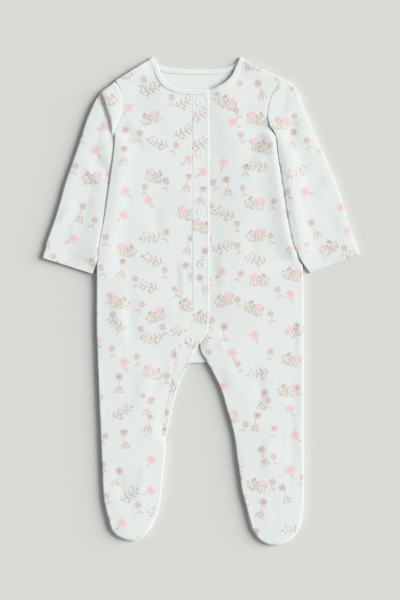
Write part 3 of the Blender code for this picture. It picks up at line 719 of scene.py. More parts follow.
def cuff_run(net, side):
    """Numbers, in the rim, of the outline points along the cuff."""
    outline = net.plan[net.rim]
    sign = 1.0 if side == "left" else -1.0
    outer = int(np.argmax(sign * outline[:, 0]))
    inner = int(np.argmin(outline[:, 1]))
    count = len(outline)
    forward = [(outer + k) % count for k in range((inner - outer) % count + 1)]
    backward = [(inner + k) % count for k in range((outer - inner) % count + 1)]
    return min(forward, backward, key=len)


def sleeve_outline(side):
    """The CAD outline, run under the body's edge at the armhole and full at its outer fold."""
    loop = dense_loop("sleeve_" + side)
    z = cast(node_tree_of("sleeve_" + side, 1), loop, 1)
    sewn = near(loop, z, "front_" + side, 1.3) & (loop[:, 1] > UNDERARM_Y[side] - 1.0)
    low, high = (np.array(c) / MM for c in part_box("sleeve_" + side))
    outer = np.sign(high[0] + low[0]) * inward(loop)[:, 0] < -0.5
    outer &= loop[:, 1] > low[1] + 34.0
    return shift_outline(loop, np.where(sewn, 0.4, np.where(outer, 0.7, 0.0)))


def from_inner_fold(net, outline, armhole, cuff):
    """Distance of each point from the sleeve's folded edge next to the body."""
    held = np.zeros(len(outline), bool)
    held[cuff] = True
    body_side = ~(armhole | held)
    middle = np.abs(outline[armhole, 0]).mean()
    low = outline[armhole, 1].min() + 3.0
    body_side &= (outline[:, 1] < low) & (np.abs(outline[:, 0]) < middle + 0.32 * (low - outline[:, 1]))
    return Line(outline[body_side]).nearest(net.plan)[0]


def make_sleeve(side):
    node = "sleeve_" + side
    net = make_net(sleeve_outline(side), FRONT_STEP)
    rim = np.array(net.rim)
    outline = net.plan[rim]
    rim_z = cast(node_tree_of(node, 1), outline, 1)
    armhole = near(outline, rim_z, "front_" + side, 1.3) & (outline[:, 1] > UNDERARM_Y[side] - 1.0)
    mouth = armhole.copy()
    cuff = cuff_run(net, side)
    mouth[cuff] = True
    fold = ~mouth
    # the points where a fold meets a mouth belong to the fold
    for k in range(len(rim)):
        if mouth[k] and (fold[k - 1] or fold[(k + 1) % len(rim)]) and not mouth_edge(mouth, k):
            fold[k] = True
    folds = Line(outline[fold])
    from_fold, nearest = folds.nearest(net.plan)
    from_armhole, _ = Line(outline[armhole]).nearest(net.plan)
    from_cuff, _ = Line(outline[cuff]).nearest(net.plan)
    top = relaxed(net, cast(node_tree_of(node, 1), net.plan, 1), 12)
    low = relaxed(net, cast(node_tree_of(node, -1), net.plan, -1), 12)
    low = np.maximum(low, 0.0)
    low += 0.42 * np.exp(-((from_cuff - CUFF_HEM) / 2.4) ** 2)
    low += puckers(Line(outline[cuff]), net.plan, 19, 0.12, 8.0, 12.0).clip(0.0)
    soft = smoothstep((from_fold - 1.5) / 8.0)
    free_of_body = np.ones(len(net.plan))
    if side == "right":
        body = near(net.plan, top, "back", 1.6) | near(net.plan, top, "front_right", 1.6)
        free_of_body = 1.0 - relaxed(net, body.astype(float), 6)
        low_y, high_y = BODY_OVER_SLEEVE
        near_cuff, above = SLEEVE_RISE
        rise = near_cuff + (above - near_cuff) * smoothstep((net.plan[:, 1] - 70.0) / 60.0)
        top += rise * lap_rise("front_right", net.plan, RISE_REACH, 1.0) \
            * window(net.plan[:, 1], low_y - 4.0, high_y + 4.0, 10.0, 12.0)
    else:
        lap = smoothstep((SLEEVE_OVER_BODY[1] + 6.0 - net.plan[:, 1]) / 14.0)
        inner_side = np.exp(-(from_inner_fold(net, outline, armhole, cuff_run(net, side)) / 14.0) ** 2)
        free_of_body = 1.0 - 0.9 * lap * inner_side
    top += (creased(net.plan, SLEEVE_CREASES[side])
            + undulation(net.plan, 41 if side == "right" else 47, 0.2)) * soft * free_of_body
    beside_armhole = ARMHOLE_FULLNESS * np.exp(-(from_armhole / 16.0) ** 2)
    top += np.maximum(SLEEVE_FULLNESS[side] * fullness(from_fold), beside_armhole) * free_of_body
    top += puckers(Line(outline[armhole]), net.plan, 3, 0.12, 8.5, 6.0)
    top -= 0.12 * np.exp(-(from_armhole / 1.0) ** 2)
    top += 0.08 * np.exp(-((from_armhole - 2.4) / 1.5) ** 2)
    top -= 0.2 * np.exp(-((from_cuff - CUFF_HEM) / 2.2) ** 2)
    top += puckers(Line(outline[cuff]), net.plan, 9, 0.12, 7.0, 14.0)
    if side == "right":
        top += fold_step(net.plan)
    low += creased(net.plan, SLEEVE_UNDER_CREASES[side]).clip(0.0) * soft
    top = np.maximum(top, low + 2 * WALL + 0.35)
    middle = 0.5 * (top + low)
    top, low = rolled(top, low, rounded(from_fold, 1.0))
    depth = np.minimum(from_fold, 6.0)
    inner_roll = rounded(np.maximum(from_fold, 0.0), 3.0)
    direction = folds.points[nearest] - net.plan
    direction /= np.maximum(np.linalg.norm(direction, axis=1), 1e-6)[:, None]
    rim_inward = np.zeros_like(net.plan)
    rim_inward[rim] = inward(outline)
    into = np.where(from_fold[:, None] < 1e-3, rim_inward, -direction)
    inner_plan = net.plan + into * (WALL * (1.0 - depth / 6.0))[:, None]
    inner_top = middle + np.maximum(top - WALL - middle, 0.05) * inner_roll
    inner_low = middle - np.maximum(middle - low - WALL, 0.05) * inner_roll
    return tube_piece("sleeve_tube_" + side, net, (top, low, inner_top, inner_low), inner_plan,
                      rim, fold, turned_plan(net.plan, SLEEVE_TURN[side], (-31.0, 55.0)))


def mouth_edge(mouth, k):
    """True where a mouth point has mouth points on both sides."""
    return mouth[k - 1] and mouth[(k + 1) % len(mouth)]


def tube_piece(name, net, levels, inner_plan, rim, fold, cloth):
    """Flattened tube: outer and inner sheets that share their points along the folds."""
    count = len(net.plan)
    top, low, inner_top, inner_low = levels
    shared = np.zeros(count, bool)
    shared[rim[fold]] = True
    blocks = [np.column_stack((net.plan, top)), np.column_stack((net.plan, low)),
              np.column_stack((inner_plan, inner_top)), np.column_stack((inner_plan, inner_low))]
    points = np.concatenate(blocks)
    numbers = [np.arange(count) + block * count for block in range(4)]
    numbers[1] = np.where(shared, numbers[0], numbers[1])
    numbers[3] = np.where(shared, numbers[2], numbers[3])
    faces = []
    for block, flip in ((0, False), (1, True), (2, True), (3, False)):
        sheet = numbers[block][net.faces]
        if flip:
            sheet = sheet[:, ::-1]
        faces += [tuple(f) for f in sheet.tolist()]
    printed = [1.0] * (2 * len(net.faces)) + [0.0] * (2 * len(net.faces))
    total = len(rim)
    for i in range(total):
        j = (i + 1) % total
        if fold[i] and fold[j]:
            continue
        for outer, inner, flip in ((0, 2, False), (1, 3, True)):
            quad = [numbers[outer][rim[i]], numbers[inner][rim[i]],
                    numbers[inner][rim[j]], numbers[outer][rim[j]]]
            faces.append(tuple(int(q) for q in (quad[::-1] if flip else quad)))
            printed.append(1.0)
    used = np.unique(np.concatenate([np.array(f) for f in faces]))
    place = -np.ones(len(points), np.int64)
    place[used] = np.arange(len(used))
    faces = [tuple(int(place[v]) for v in f) for f in faces]
    cloth = np.concatenate((cloth, cloth + (0.0, 64.0), cloth, cloth))[used]
    return add_piece(name, points[used], faces, cloth, printed)


# ---------------------------------------------------------------- neckband

NECKBAND_WIDTH = 7.0
NECKBAND_THICK = 2.1
SECTION_POINTS = 18
NECKBAND_ENDS = (9.8, -6.0)    # where its upper and lower ends stop, across the body
BACK_BINDING_Z = 0.62
TIP_ROWS = 6                   # rows over which its free edge is drawn to a shoulder's tip


def run_near_neckband(node):
    """The stretch of a panel's outline that the neckband is sewn to, in order, with heights."""
    outline, corners = smooth_loop(top_loop(node), 2.0)
    z = cast(node_tree_of(node, 1), outline, 1)
    found = near(outline, z, "neckband", 1.6) & (outline[:, 1] > 240.0)
    count = len(found)
    middle = int(np.argmax(np.abs(outline[:, 1] - outline[:, 1].min()) < 1e-6))
    order = [(middle + k) % count for k in range(count)]
    hits = [k for k in order if found[k]]
    first, last = order.index(hits[0]), order.index(hits[-1])
    run = order[first:last + 1]
    starts = [k for k in range(4) if run[k] in corners]
    ends = [k for k in range(-1, -5, -1) if run[k] in corners]
    run = run[starts[-1] if starts else 0:(ends[-1] + 1 if ends else 0) or None]
    return outline[run], z[run]


def neck_tips():
    """Free edge of the neckband at each shoulder, from its CAD node."""
    points, _ = merged("neckband")
    tips = {}
    for side, sign in (("right", -1.0), ("left", 1.0)):
        mine = points[sign * points[:, 0] > 30.0]
        tips[side] = mine[np.argmax(mine[:, 1])][:2]
    return tips


def station_rows():
    """Rows from the overlapping end round to the lower one: seam edge, free edge, outward normal."""
    tips = neck_tips()
    right, right_z = run_near_neckband("front_right")
    left, left_z = run_near_neckband("front_left")
    back, _ = run_near_neckband("back")
    if right[0][0] < right[-1][0]:
        right, right_z = right[::-1], right_z[::-1]
    if left[0][0] < left[-1][0]:
        left, left_z = left[::-1], left_z[::-1]
    if back[0][0] > back[-1][0]:
        back = back[::-1]
    band_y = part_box("band_over")[1].y / MM
    ends = np.arange(NECKBAND_ENDS[0], right[0][0] + 1.2, -2.0)
    seam = np.concatenate((np.column_stack((ends, np.full(len(ends), band_y))), right))
    z = np.concatenate((np.full(len(ends), right_z[0]), right_z))
    rows = flat_rows(seam, z - 0.5 * WALL, tips["right"], 1.0, last=True)
    rows += turned_rows(right[-1], tips["right"], 1.0)
    rows += flat_rows(back, np.full(len(back), BACK_BINDING_Z), None, -1.0, tips=tips)
    rows += turned_rows(left[0], tips["left"], -1.0)
    ends = np.arange(left[-1][0] - 2.0, NECKBAND_ENDS[1], -2.0)
    seam = np.concatenate((left, np.column_stack((ends, np.full(len(ends), band_y)))))
    z = np.concatenate((left_z, np.full(len(ends), left_z[-1])))
    beneath = smoothstep((12.0 - seam[:, 0]) / 6.0)
    rows += flat_rows(seam, z - 0.5 * WALL - 0.35 * beneath, tips["left"], 1.0, first=True)
    return rows


def flat_rows(seam, z, tip, up, first=False, last=False, tips=None):
    """Rows where the binding lies flat; `up` is -1 where its outer face looks down."""
    tangent = np.gradient(seam, axis=0)
    tangent /= np.linalg.norm(tangent, axis=1)[:, None]
    away = np.stack((tangent[:, 1], -tangent[:, 0]), axis=1) * (1.0 if up > 0 else -1.0)
    free = seam + away * NECKBAND_WIDTH
    from_start = np.arange(len(seam))
    from_end = from_start[::-1]
    drawn = [(last, tip, from_end), (first, tip, from_start)]
    if tips is not None:
        drawn = [(True, tips["right"], from_start), (True, tips["left"], from_end)]
    for is_tip, point, order in drawn:
        if is_tip:
            w = smoothstep(1.0 - order / TIP_ROWS)[:, None]
            free = free + w * (np.asarray(point) - free[order.argmin()])
    rows = []
    for s, f, height in zip(seam, free, z):
        rows.append((np.array((*s, height)), np.array((*f, height)), np.array((0.0, 0.0, up))))
    return rows


def turned_rows(seam, tip, direction):
    """Rows round the fold at a shoulder, between the front level and the back level."""
    length = np.linalg.norm(tip - seam)
    out = np.array((seam[1] - tip[1], tip[0] - seam[0])) * direction / length
    middle, radius = 1.25, 0.7
    rows = []
    for step in range(1, 6):
        angle = math.pi * step / 6.0
        rise = math.cos(angle) * direction
        reach = math.sin(angle)
        shift = np.array((*(out * radius * reach), middle + radius * rise))
        normal = np.array((*(out * reach), rise))
        rows.append((np.array((*seam, 0.0)) + shift, np.array((*tip, 0.0)) + shift, normal))
    return rows


def section_round(seam, free, normal):
    """Cross-section of the binding between its seam edge and its free edge."""
    centre = 0.5 * (seam + free)
    half = 0.5 * (free - seam)
    points = []
    for k in range(SECTION_POINTS):
        angle = 2 * math.pi * k / SECTION_POINTS
        c, s = math.cos(angle), math.sin(angle)
        across = math.copysign(abs(c) ** 0.7, c)
        thick = math.copysign(abs(s) ** 0.6, s)
        points.append(centre + half * across * 1.02 + normal * (0.5 * NECKBAND_THICK * thick))
    return points


def make_neckband():
    rows = station_rows()
    points = []
    cloth = []
    faces = []
    travelled = 0.0
    before = None
    for seam, free, normal in rows:
        ring = section_round(seam, free, normal)
        middle = 0.5 * (seam + free)
        if before is not None:
            travelled += np.linalg.norm(middle - before)
        before = middle
        points += ring
        cloth += [(travelled, 12.0 * k / SECTION_POINTS) for k in range(SECTION_POINTS)]
    lowest = 0.02
    points = np.array(points)
    points[:, 2] = np.maximum(points[:, 2], lowest)
    n = SECTION_POINTS
    for r in range(len(rows) - 1):
        for k in range(n):
            m = (k + 1) % n
            faces.append((r * n + k, r * n + m, (r + 1) * n + m, (r + 1) * n + k))
    faces.append(tuple(range(n))[::-1])
    end = (len(rows) - 1) * n
    faces.append(tuple(end + k for k in range(n)))
    return add_piece("neck_binding", points, faces, np.array(cloth), [0.0] * len(faces))


# ---------------------------------------------------------------- snaps

RING_SIDES = 56
CAP_PROFILE = ((2.85, -0.05), (2.88, 0.08), (3.05, 0.19), (3.35, 0.26), (3.7, 0.28), (4.0, 0.26),
               (4.3, 0.18), (4.5, 0.06), (4.52, -0.05), (3.6, -0.2))
SOCKET_PROFILE = ((0.0, 0.0), (3.4, 0.0), (3.9, 0.15), (4.05, 0.5), (3.9, 0.85), (3.4, 1.0),
                  (2.2, 1.0), (2.0, 0.75), (0.0, 0.75))


def lathe(name, centre, profile, closed):
    """Round piece from a profile of radius and height; closed rings have no axis points."""
    points = []
    faces = []
    rings = []
    for radius, height in profile:
        if radius == 0.0:
            rings.append([len(points)])
            points.append((centre[0], centre[1], centre[2] + height))
            continue
        rings.append(list(range(len(points), len(points) + RING_SIDES)))
        for k in range(RING_SIDES):
            angle = 2 * math.pi * k / RING_SIDES
            points.append((centre[0] + radius * math.cos(angle),
                           centre[1] + radius * math.sin(angle), centre[2] + height))
    pairs = list(zip(rings, rings[1:]))
    if closed:
        pairs.append((rings[-1], rings[0]))
    for lower, upper in pairs:
        for k in range(RING_SIDES):
            m = (k + 1) % RING_SIDES
            if len(lower) == 1:
                faces.append((lower[0], upper[m], upper[k]))
            elif len(upper) == 1:
                faces.append((lower[k], lower[m], upper[0]))
            else:
                faces.append((lower[k], lower[m], upper[m], upper[k]))
    if closed:
        faces = [face[::-1] for face in faces]
    cloth = np.array(points)[:, :2]
    return add_piece(name, points, faces, cloth, [0.0] * len(faces))


def make_snaps(band_tree):
    made = []
    for number in SNAPS:
        low, high = (np.array(c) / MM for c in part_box(f"snap_cap_{number}"))
        centre = 0.5 * (low + high)[:2]
        hit = band_tree.ray_cast((centre[0] + 4.0, centre[1], 50.0), (0.0, 0.0, -1.0))
        cap = lathe(f"snap_ring_{number}", (*centre, hit[0].z - 0.02), CAP_PROFILE, True)
        made.append((cap, f"snap_cap_{number}"))
        low, high = (np.array(c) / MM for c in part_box(f"snap_socket_{number}"))
        socket = lathe(f"snap_back_{number}", (*centre, low[2]), SOCKET_PROFILE, False)
        made.append((socket, f"snap_socket_{number}"))
    return made


# ---------------------------------------------------------------- stitches

STITCH_PITCH = 2.7
STITCH_LENGTH = 1.95
STITCH_RADIUS = 0.2


def stitch_line(points, surface, sign=1.0):
    """Centre and direction of each stitch along a plan line, laid on a surface."""
    points = np.asarray(points, float)
    line = Line(points)
    stitches = []
    place = 0.5 * STITCH_PITCH
    while place < line.length[-1]:
        ends = []
        for shift in (-0.5, 0.0, 0.5):
            s = place + shift * STITCH_LENGTH
            x = np.interp(s, line.length, points[:, 0])
            y = np.interp(s, line.length, points[:, 1])
            hit = surface.ray_cast((x, y, 60.0 * sign), (0.0, 0.0, -sign))
            if hit[0] is None:
                break
            ends.append(np.array((x, y, hit[0].z)))
        if len(ends) == 3:
            stitches.append(ends)
        place += STITCH_PITCH
    return stitches


def cuff_lines(side):
    """Two straight rows of stitches across a sleeve, above its cuff."""
    net_loop = dense_loop("sleeve_" + side)
    sign = 1.0 if side == "left" else -1.0
    outer = net_loop[np.argmax(sign * net_loop[:, 0])]
    inner = net_loop[np.argmin(net_loop[:, 1])]
    along = (inner - outer) / np.linalg.norm(inner - outer)
    up = np.array((-along[1], along[0]))
    up *= np.sign(up[1])
    lean = np.array((-sign * 0.16, 0.0))
    lines = []
    for away in (CUFF_HEM + row for row in CUFF_ROWS):
        start = outer + along * 3.6 + (up + lean) * away
        end = inner - along * 2.4 + (up + lean) * away
        count = max(int(np.linalg.norm(end - start) / 1.5), 2)
        lines.append(np.linspace(start, end, count))
    return lines


def make_stitches(name, stitches, sign=1.0):
    """All the stitches of one seam as a joined mesh of short bent threads."""
    points = []
    faces = []
    sides = 5
    for start, middle, end in stitches:
        line = [start - (0, 0, 0.12 * sign), 0.5 * (start + middle) + (0, 0, 0.1 * sign),
                middle + (0, 0, 0.16 * sign), 0.5 * (middle + end) + (0, 0, 0.1 * sign),
                end - (0, 0, 0.12 * sign)]
        direction = (end - start) / max(np.linalg.norm(end - start), 1e-6)
        side = np.cross(direction, (0.0, 0.0, 1.0))
        side /= max(np.linalg.norm(side), 1e-6)
        up = np.cross(side, direction)
        base = len(points)
        for number, centre in enumerate(line):
            radius = STITCH_RADIUS * (0.55 if number in (0, 4) else 1.0)
            for k in range(sides):
                angle = 2 * math.pi * k / sides
                points.append(centre + radius * (side * math.cos(angle) + up * math.sin(angle)))
        for r in range(4):
            for k in range(sides):
                m = (k + 1) % sides
                a, b = base + r * sides, base + (r + 1) * sides
                faces.append((a + k, a + m, b + m, b + k))
        faces.append(tuple(base + k for k in range(sides))[::-1])
        faces.append(tuple(base + 4 * sides + k for k in range(sides)))
    points = np.array(points)
    points[:, 2] = np.maximum(points[:, 2], 0.02)
    return add_piece(name, points, faces, points[:, :2], [0.0] * len(faces))


def closed_line(node, away):
    """A line inside the whole outline of a node, back to its start."""
    loop = dense_loop(node)
    row = shift_outline(loop, -np.full(len(loop), away))
    distance, _ = Line(loop).nearest(row)
    row = row[distance > 0.85 * away]
    return np.vstack((row, row[:1]))


def sew(sleeves, soles, over, neck):
    """Every visible row of stitches, one piece for each part it is sewn on."""
    threads = {}
    for side in SIDES:
        surface = tree_of(sleeves[side])
        above, below = [], []
        for line in cuff_lines(side):
            above += stitch_line(line, surface)
            below += stitch_line(line, surface, -1.0)
        threads["sleeve_" + side] = [make_stitches(f"cuff_stitches_{side}", above),
                                     make_stitches(f"cuff_stitches_under_{side}", below, -1.0)]
        rows = stitch_line(closed_line("sole_" + side, SOLE_STITCH), tree_of(soles[side]), -1.0)
        threads["sole_" + side] = [make_stitches(f"sole_stitches_{side}", rows, -1.0)]
    rows = stitch_line(closed_line("band_over", 1.7), tree_of(over))
    threads["band_over"] = [make_stitches("band_stitches", rows)]
    path = [seam + 0.24 * (free - seam) for seam, free, _ in station_rows()]
    rows = stitch_line(np.array(path)[:, :2], tree_of(neck))
    threads["neckband"] = [make_stitches("neck_stitches", rows)]
    return threads


# ---------------------------------------------------------------- materials

WHITE = (0.732, 0.758, 0.736)
BINDING_WHITE = (0.74, 0.765, 0.735)
THREAD_WHITE = (0.79, 0.80, 0.77)
PLASTIC_WHITE = (0.755, 0.785, 0.755)
FLOOR_GREY = (0.610, 0.612, 0.581)

PALE_PINK = (0.84, 0.58, 0.59)
BLUSH = (0.72, 0.46, 0.42)
ROSE = (0.50, 0.23, 0.22)
TAN = (0.50, 0.33, 0.22)
BARK = (0.30, 0.20, 0.15)
SAGE = (0.38, 0.42, 0.35)
OAT = (0.60, 0.45, 0.32)


class Tree:
    """Short words for building a material's nodes."""

    def __init__(self, material):
        self.nodes = material.node_tree.nodes
        self.links = material.node_tree.links

    def put(self, socket, value):
        if isinstance(value, bpy.types.NodeSocket):
            self.links.new(value, socket)
        elif value is not None:
            socket.default_value = value

    def node(self, kind, inputs=(), **settings):
        made = self.nodes.new(kind)
        for key, value in settings.items():
            setattr(made, key, value)
        for key, value in dict(inputs).items():
            self.put(made.inputs[key], value)
        return made

    def math(self, operation, a, b=None, c=None):
        made = self.nodes.new("ShaderNodeMath")
        made.operation = operation
        for socket, value in zip(made.inputs, (a, b, c)):
            self.put(socket, value)
        return made.outputs[0]

    def vector(self, operation, a, b=None):
        made = self.nodes.new("ShaderNodeVectorMath")
        made.operation = operation
        self.put(made.inputs[0], a)
        if b is not None:
            self.put(made.inputs[1], b)
        return made.outputs["Value" if operation in ("LENGTH", "DOT_PRODUCT") else "Vector"]

    def noise(self, vector, scale, detail=2.0):
        made = self.node("ShaderNodeTexNoise", {"Vector": vector, "Scale": scale, "Detail": detail})
        return made.outputs["Fac"]

    def ramp(self, value, low, high, to_low=0.0, to_high=1.0):
        made = self.node("ShaderNodeMapRange", {"Value": value, "From Min": low, "From Max": high,
                                                "To Min": to_low, "To Max": to_high},
                         interpolation_type="SMOOTHSTEP")
        return made.outputs[0]

    def mix(self, factor, a, b):
        made = self.nodes.new("ShaderNodeMix")
        made.data_type = "RGBA"
        self.put(made.inputs[0], factor)
        self.put(made.inputs[6], (*a, 1.0) if isinstance(a, tuple) else a)
        self.put(made.inputs[7], (*b, 1.0) if isinstance(b, tuple) else b)
        return made.outputs[2]


def new_material(name):
    material = bpy.data.materials.new(name)
    material.use_nodes = True
    tree = Tree(material)
    shader = tree.nodes["Principled BSDF"]
    return material, tree, shader


# A motif is a list of dabs: kind, x, y, half length, half width, turn in degrees, colour, strength
MEADOW = (
    ("bloom", -5.5, 1.6, 5.4, 4.8, 10.0, PALE_PINK, 0.85),
    ("leaf", -9.4, -3.5, 3.6, 0.5, 80.0, SAGE, 0.8), ("leaf", -6.2, -4.0, 3.4, 0.5, 96.0, TAN, 0.8),
    ("leaf", -2.6, -2.6, 4.6, 0.5, 84.0, SAGE, 0.75), ("leaf", 0.6, -3.0, 4.0, 0.55, 100.0, BARK, 0.7),
    ("leaf", 3.4, -1.6, 5.2, 0.5, 80.0, TAN, 0.8), ("leaf", 6.4, -2.8, 4.2, 0.5, 98.0, SAGE, 0.8),
    ("leaf", 9.4, -3.8, 3.0, 0.5, 76.0, TAN, 0.8), ("leaf", -1.0, -7.4, 11.0, 0.4, 2.0, TAN, 0.6),
    ("leaf", 4.2, -6.2, 3.0, 1.0, 20.0, SAGE, 0.6), ("leaf", -5.0, -6.4, 2.8, 0.9, 160.0, BLUSH, 0.8),
    ("dot", 4.0, 4.4, 2.1, 1.8, 0.0, ROSE, 0.65), ("dot", 0.2, 1.9, 1.4, 1.3, 0.0, BARK, 0.5),
    ("dot", 6.2, 2.4, 1.7, 1.4, 0.0, TAN, 0.7), ("dot", 10.0, 0.0, 1.4, 1.2, 0.0, ROSE, 0.6),
    ("dot", -9.8, 0.8, 1.2, 1.1, 0.0, BARK, 0.5), ("bloom", 2.2, -0.6, 3.0, 2.4, 40.0, OAT, 0.55),
    ("bloom", 7.6, -4.4, 2.4, 2.0, 0.0, BLUSH, 0.5), ("dot", -1.6, -4.6, 1.9, 1.6, 0.0, OAT, 0.6),
)
SPRIG = (
    ("leaf", 0.0, 0.0, 11.5, 0.42, 12.0, BARK, 0.6),
    ("leaf", -8.6, 0.6, 2.8, 1.0, 70.0, SAGE, 0.75), ("leaf", -6.4, -3.6, 2.8, 1.0, -44.0, OAT, 0.75),
    ("leaf", -3.4, 2.0, 3.0, 1.1, 66.0, TAN, 0.7), ("leaf", -1.2, -2.8, 3.0, 1.1, -42.0, SAGE, 0.75),
    ("leaf", 1.8, 3.4, 3.2, 1.1, 70.0, BLUSH, 0.8), ("leaf", 4.2, -1.8, 2.8, 1.0, -40.0, TAN, 0.7),
    ("leaf", 7.0, 4.6, 2.8, 1.0, 60.0, OAT, 0.7), ("leaf", 9.0, -0.6, 2.4, 0.9, -30.0, SAGE, 0.7),
    ("dot", -2.2, -6.0, 1.5, 1.4, 0.0, ROSE, 0.6), ("dot", 11.2, 3.6, 1.6, 1.5, 0.0, ROSE, 0.6),
    ("dot", 5.6, 7.6, 1.2, 1.2, 0.0, BARK, 0.45),
)
POPPY = (
    ("bloom", 0.0, 7.6, 4.2, 4.2, 18.0, ROSE, 0.55), ("dot", 0.0, 7.6, 1.3, 1.3, 0.0, BARK, 0.4),
    ("leaf", 0.5, -0.4, 4.8, 0.4, 86.0, TAN, 0.75), ("leaf", -2.4, -5.2, 3.3, 1.4, 58.0, BLUSH, 0.85),
    ("leaf", 2.4, -5.4, 3.0, 1.1, 122.0, TAN, 0.7), ("leaf", 0.2, -8.0, 3.0, 0.8, 92.0, SAGE, 0.75),
    ("leaf", -3.4, -9.2, 2.0, 0.8, 20.0, BARK, 0.5), ("leaf", 3.4, -9.4, 2.0, 0.8, -16.0, ROSE, 0.5),
)
PEONY = (
    ("bloom", 0.0, 0.4, 5.6, 5.1, 30.0, PALE_PINK, 0.9), ("bloom", 0.6, 0.8, 2.6, 2.2, 0.0, BLUSH, 0.55),
    ("leaf", 5.0, -5.2, 3.0, 1.1, -38.0, SAGE, 0.65),
)
TOSSED = ((MEADOW, 0.0, 0.3), (SPRIG, 0.3, 0.56), (POPPY, 0.56, 0.82), (PEONY, 0.82, 1.01))
BUD = (
    ("bloom", 0.0, 2.6, 3.7, 3.7, 25.0, ROSE, 0.5), ("leaf", 0.3, -3.4, 2.6, 0.4, 84.0, TAN, 0.7),
    ("leaf", -2.0, -5.4, 2.2, 0.9, 40.0, SAGE, 0.65), ("leaf", 2.2, -5.6, 2.2, 0.9, 140.0, BLUSH, 0.8),
)
CELL = (37.0, 34.0)       # spacing of the tossed motifs across and along the cloth
JITTER = (7.5, 8.0)
LEAN = 0.45               # most that a motif leans either way, in radians
FILLER_AT = (18.5, 25.5)  # where the small flowers between them sit
INK = 1.0                 # strength of the whole print
MOTIF_SIZE = 1.12
FILLER_SHARE = 0.28        # part of those places that is left empty


def cell_layout(tree, cloth, offset, seed):
    """Half-drop cells: place inside the cell, and three random numbers of the cell."""
    moved = tree.vector("ADD", cloth, (*offset, 0.0))
    split = tree.node("ShaderNodeSeparateXYZ", {"Vector": moved})
    column = tree.math("FLOOR", tree.math("DIVIDE", split.outputs[0], CELL[0]))
    dropped = tree.math("MULTIPLY_ADD", column, 0.5 * CELL[1], split.outputs[1])
    row = tree.math("FLOOR", tree.math("DIVIDE", dropped, CELL[1]))
    number = tree.node("ShaderNodeCombineXYZ", {"X": column, "Y": row, "Z": seed})
    chance = tree.node("ShaderNodeTexWhiteNoise", {"Vector": number.outputs[0]},
                       noise_dimensions="3D")
    chances = tree.node("ShaderNodeSeparateColor", {"Color": chance.outputs["Color"]})
    local_x = tree.math("MULTIPLY_ADD", tree.math("ADD", column, 0.5), -CELL[0], split.outputs[0])
    local_y = tree.math("MULTIPLY_ADD", tree.math("ADD", row, 0.5), -CELL[1], dropped)
    shift_x = tree.math("MULTIPLY_ADD", chances.outputs[0], 2 * JITTER[0], -JITTER[0])
    shift_y = tree.math("MULTIPLY_ADD", chances.outputs[1], 2 * JITTER[1], -JITTER[1])
    local = tree.node("ShaderNodeCombineXYZ", {"X": tree.math("SUBTRACT", local_x, shift_x),
                                               "Y": tree.math("SUBTRACT", local_y, shift_y)})
    value = tree.math("FRACT", tree.math("MULTIPLY_ADD", chances.outputs[0], 13.7,
                                         tree.math("MULTIPLY", chances.outputs[1], 7.3)))
    return local.outputs[0], chances.outputs, value


def dab_mask(tree, place, kind, x, y, length, width, turn):
    """Soft-edged mask of one painted dab."""
    mapped = tree.node("ShaderNodeMapping", {"Vector": place, "Location": (x, y, 0.0),
                                             "Rotation": (0.0, 0.0, math.radians(turn)),
                                             "Scale": (length, width, 1.0)},
                       vector_type="TEXTURE").outputs[0]
    radius = tree.vector("LENGTH", mapped)
    if kind == "bloom":
        split = tree.node("ShaderNodeSeparateXYZ", {"Vector": mapped})
        angle = tree.math("ARCTAN2", split.outputs[1], split.outputs[0])
        petals = tree.math("COSINE", tree.math("MULTIPLY", angle, 5.0))
        radius = tree.math("MULTIPLY", radius, tree.math("MULTIPLY_ADD", petals, -0.09, 1.06))
    soft = 0.3 if kind == "bloom" else min(0.6, 0.6 / width)
    return tree.ramp(radius, 1.0 + soft, 1.0 - soft, 0.0, 1.0)


def paint(tree, colour, place, motif, amount):
    """The colour with a motif painted over it."""
    for kind, x, y, length, width, turn, dye, strength in motif:
        mask = dab_mask(tree, place, kind, x, y, length, width, turn)
        share = tree.math("MULTIPLY", mask, tree.math("MULTIPLY", amount, strength))
        colour = tree.mix(share, colour, dye)
    return colour


def tossed(tree, place, chances):
    """Place inside a cell, leant and mirrored by the cell's own chances."""
    turn = tree.math("MULTIPLY_ADD", chances[2], 2 * LEAN, -LEAN)
    leant = tree.node("ShaderNodeVectorRotate", {"Vector": place, "Angle": turn},
                      rotation_type="Z_AXIS").outputs[0]
    share = tree.math("FRACT", tree.math("MULTIPLY", chances[2], 7.0))
    flip = tree.math("MULTIPLY_ADD", tree.math("GREATER_THAN", share, 0.5), 2.0, -1.0)
    mirror = tree.node("ShaderNodeCombineXYZ", {"X": flip, "Y": 1.0, "Z": 1.0}).outputs[0]
    turned = tree.vector("MULTIPLY", leant, mirror)
    return tree.vector("MULTIPLY", turned, (1.0 / MOTIF_SIZE, 1.0 / MOTIF_SIZE, 1.0))


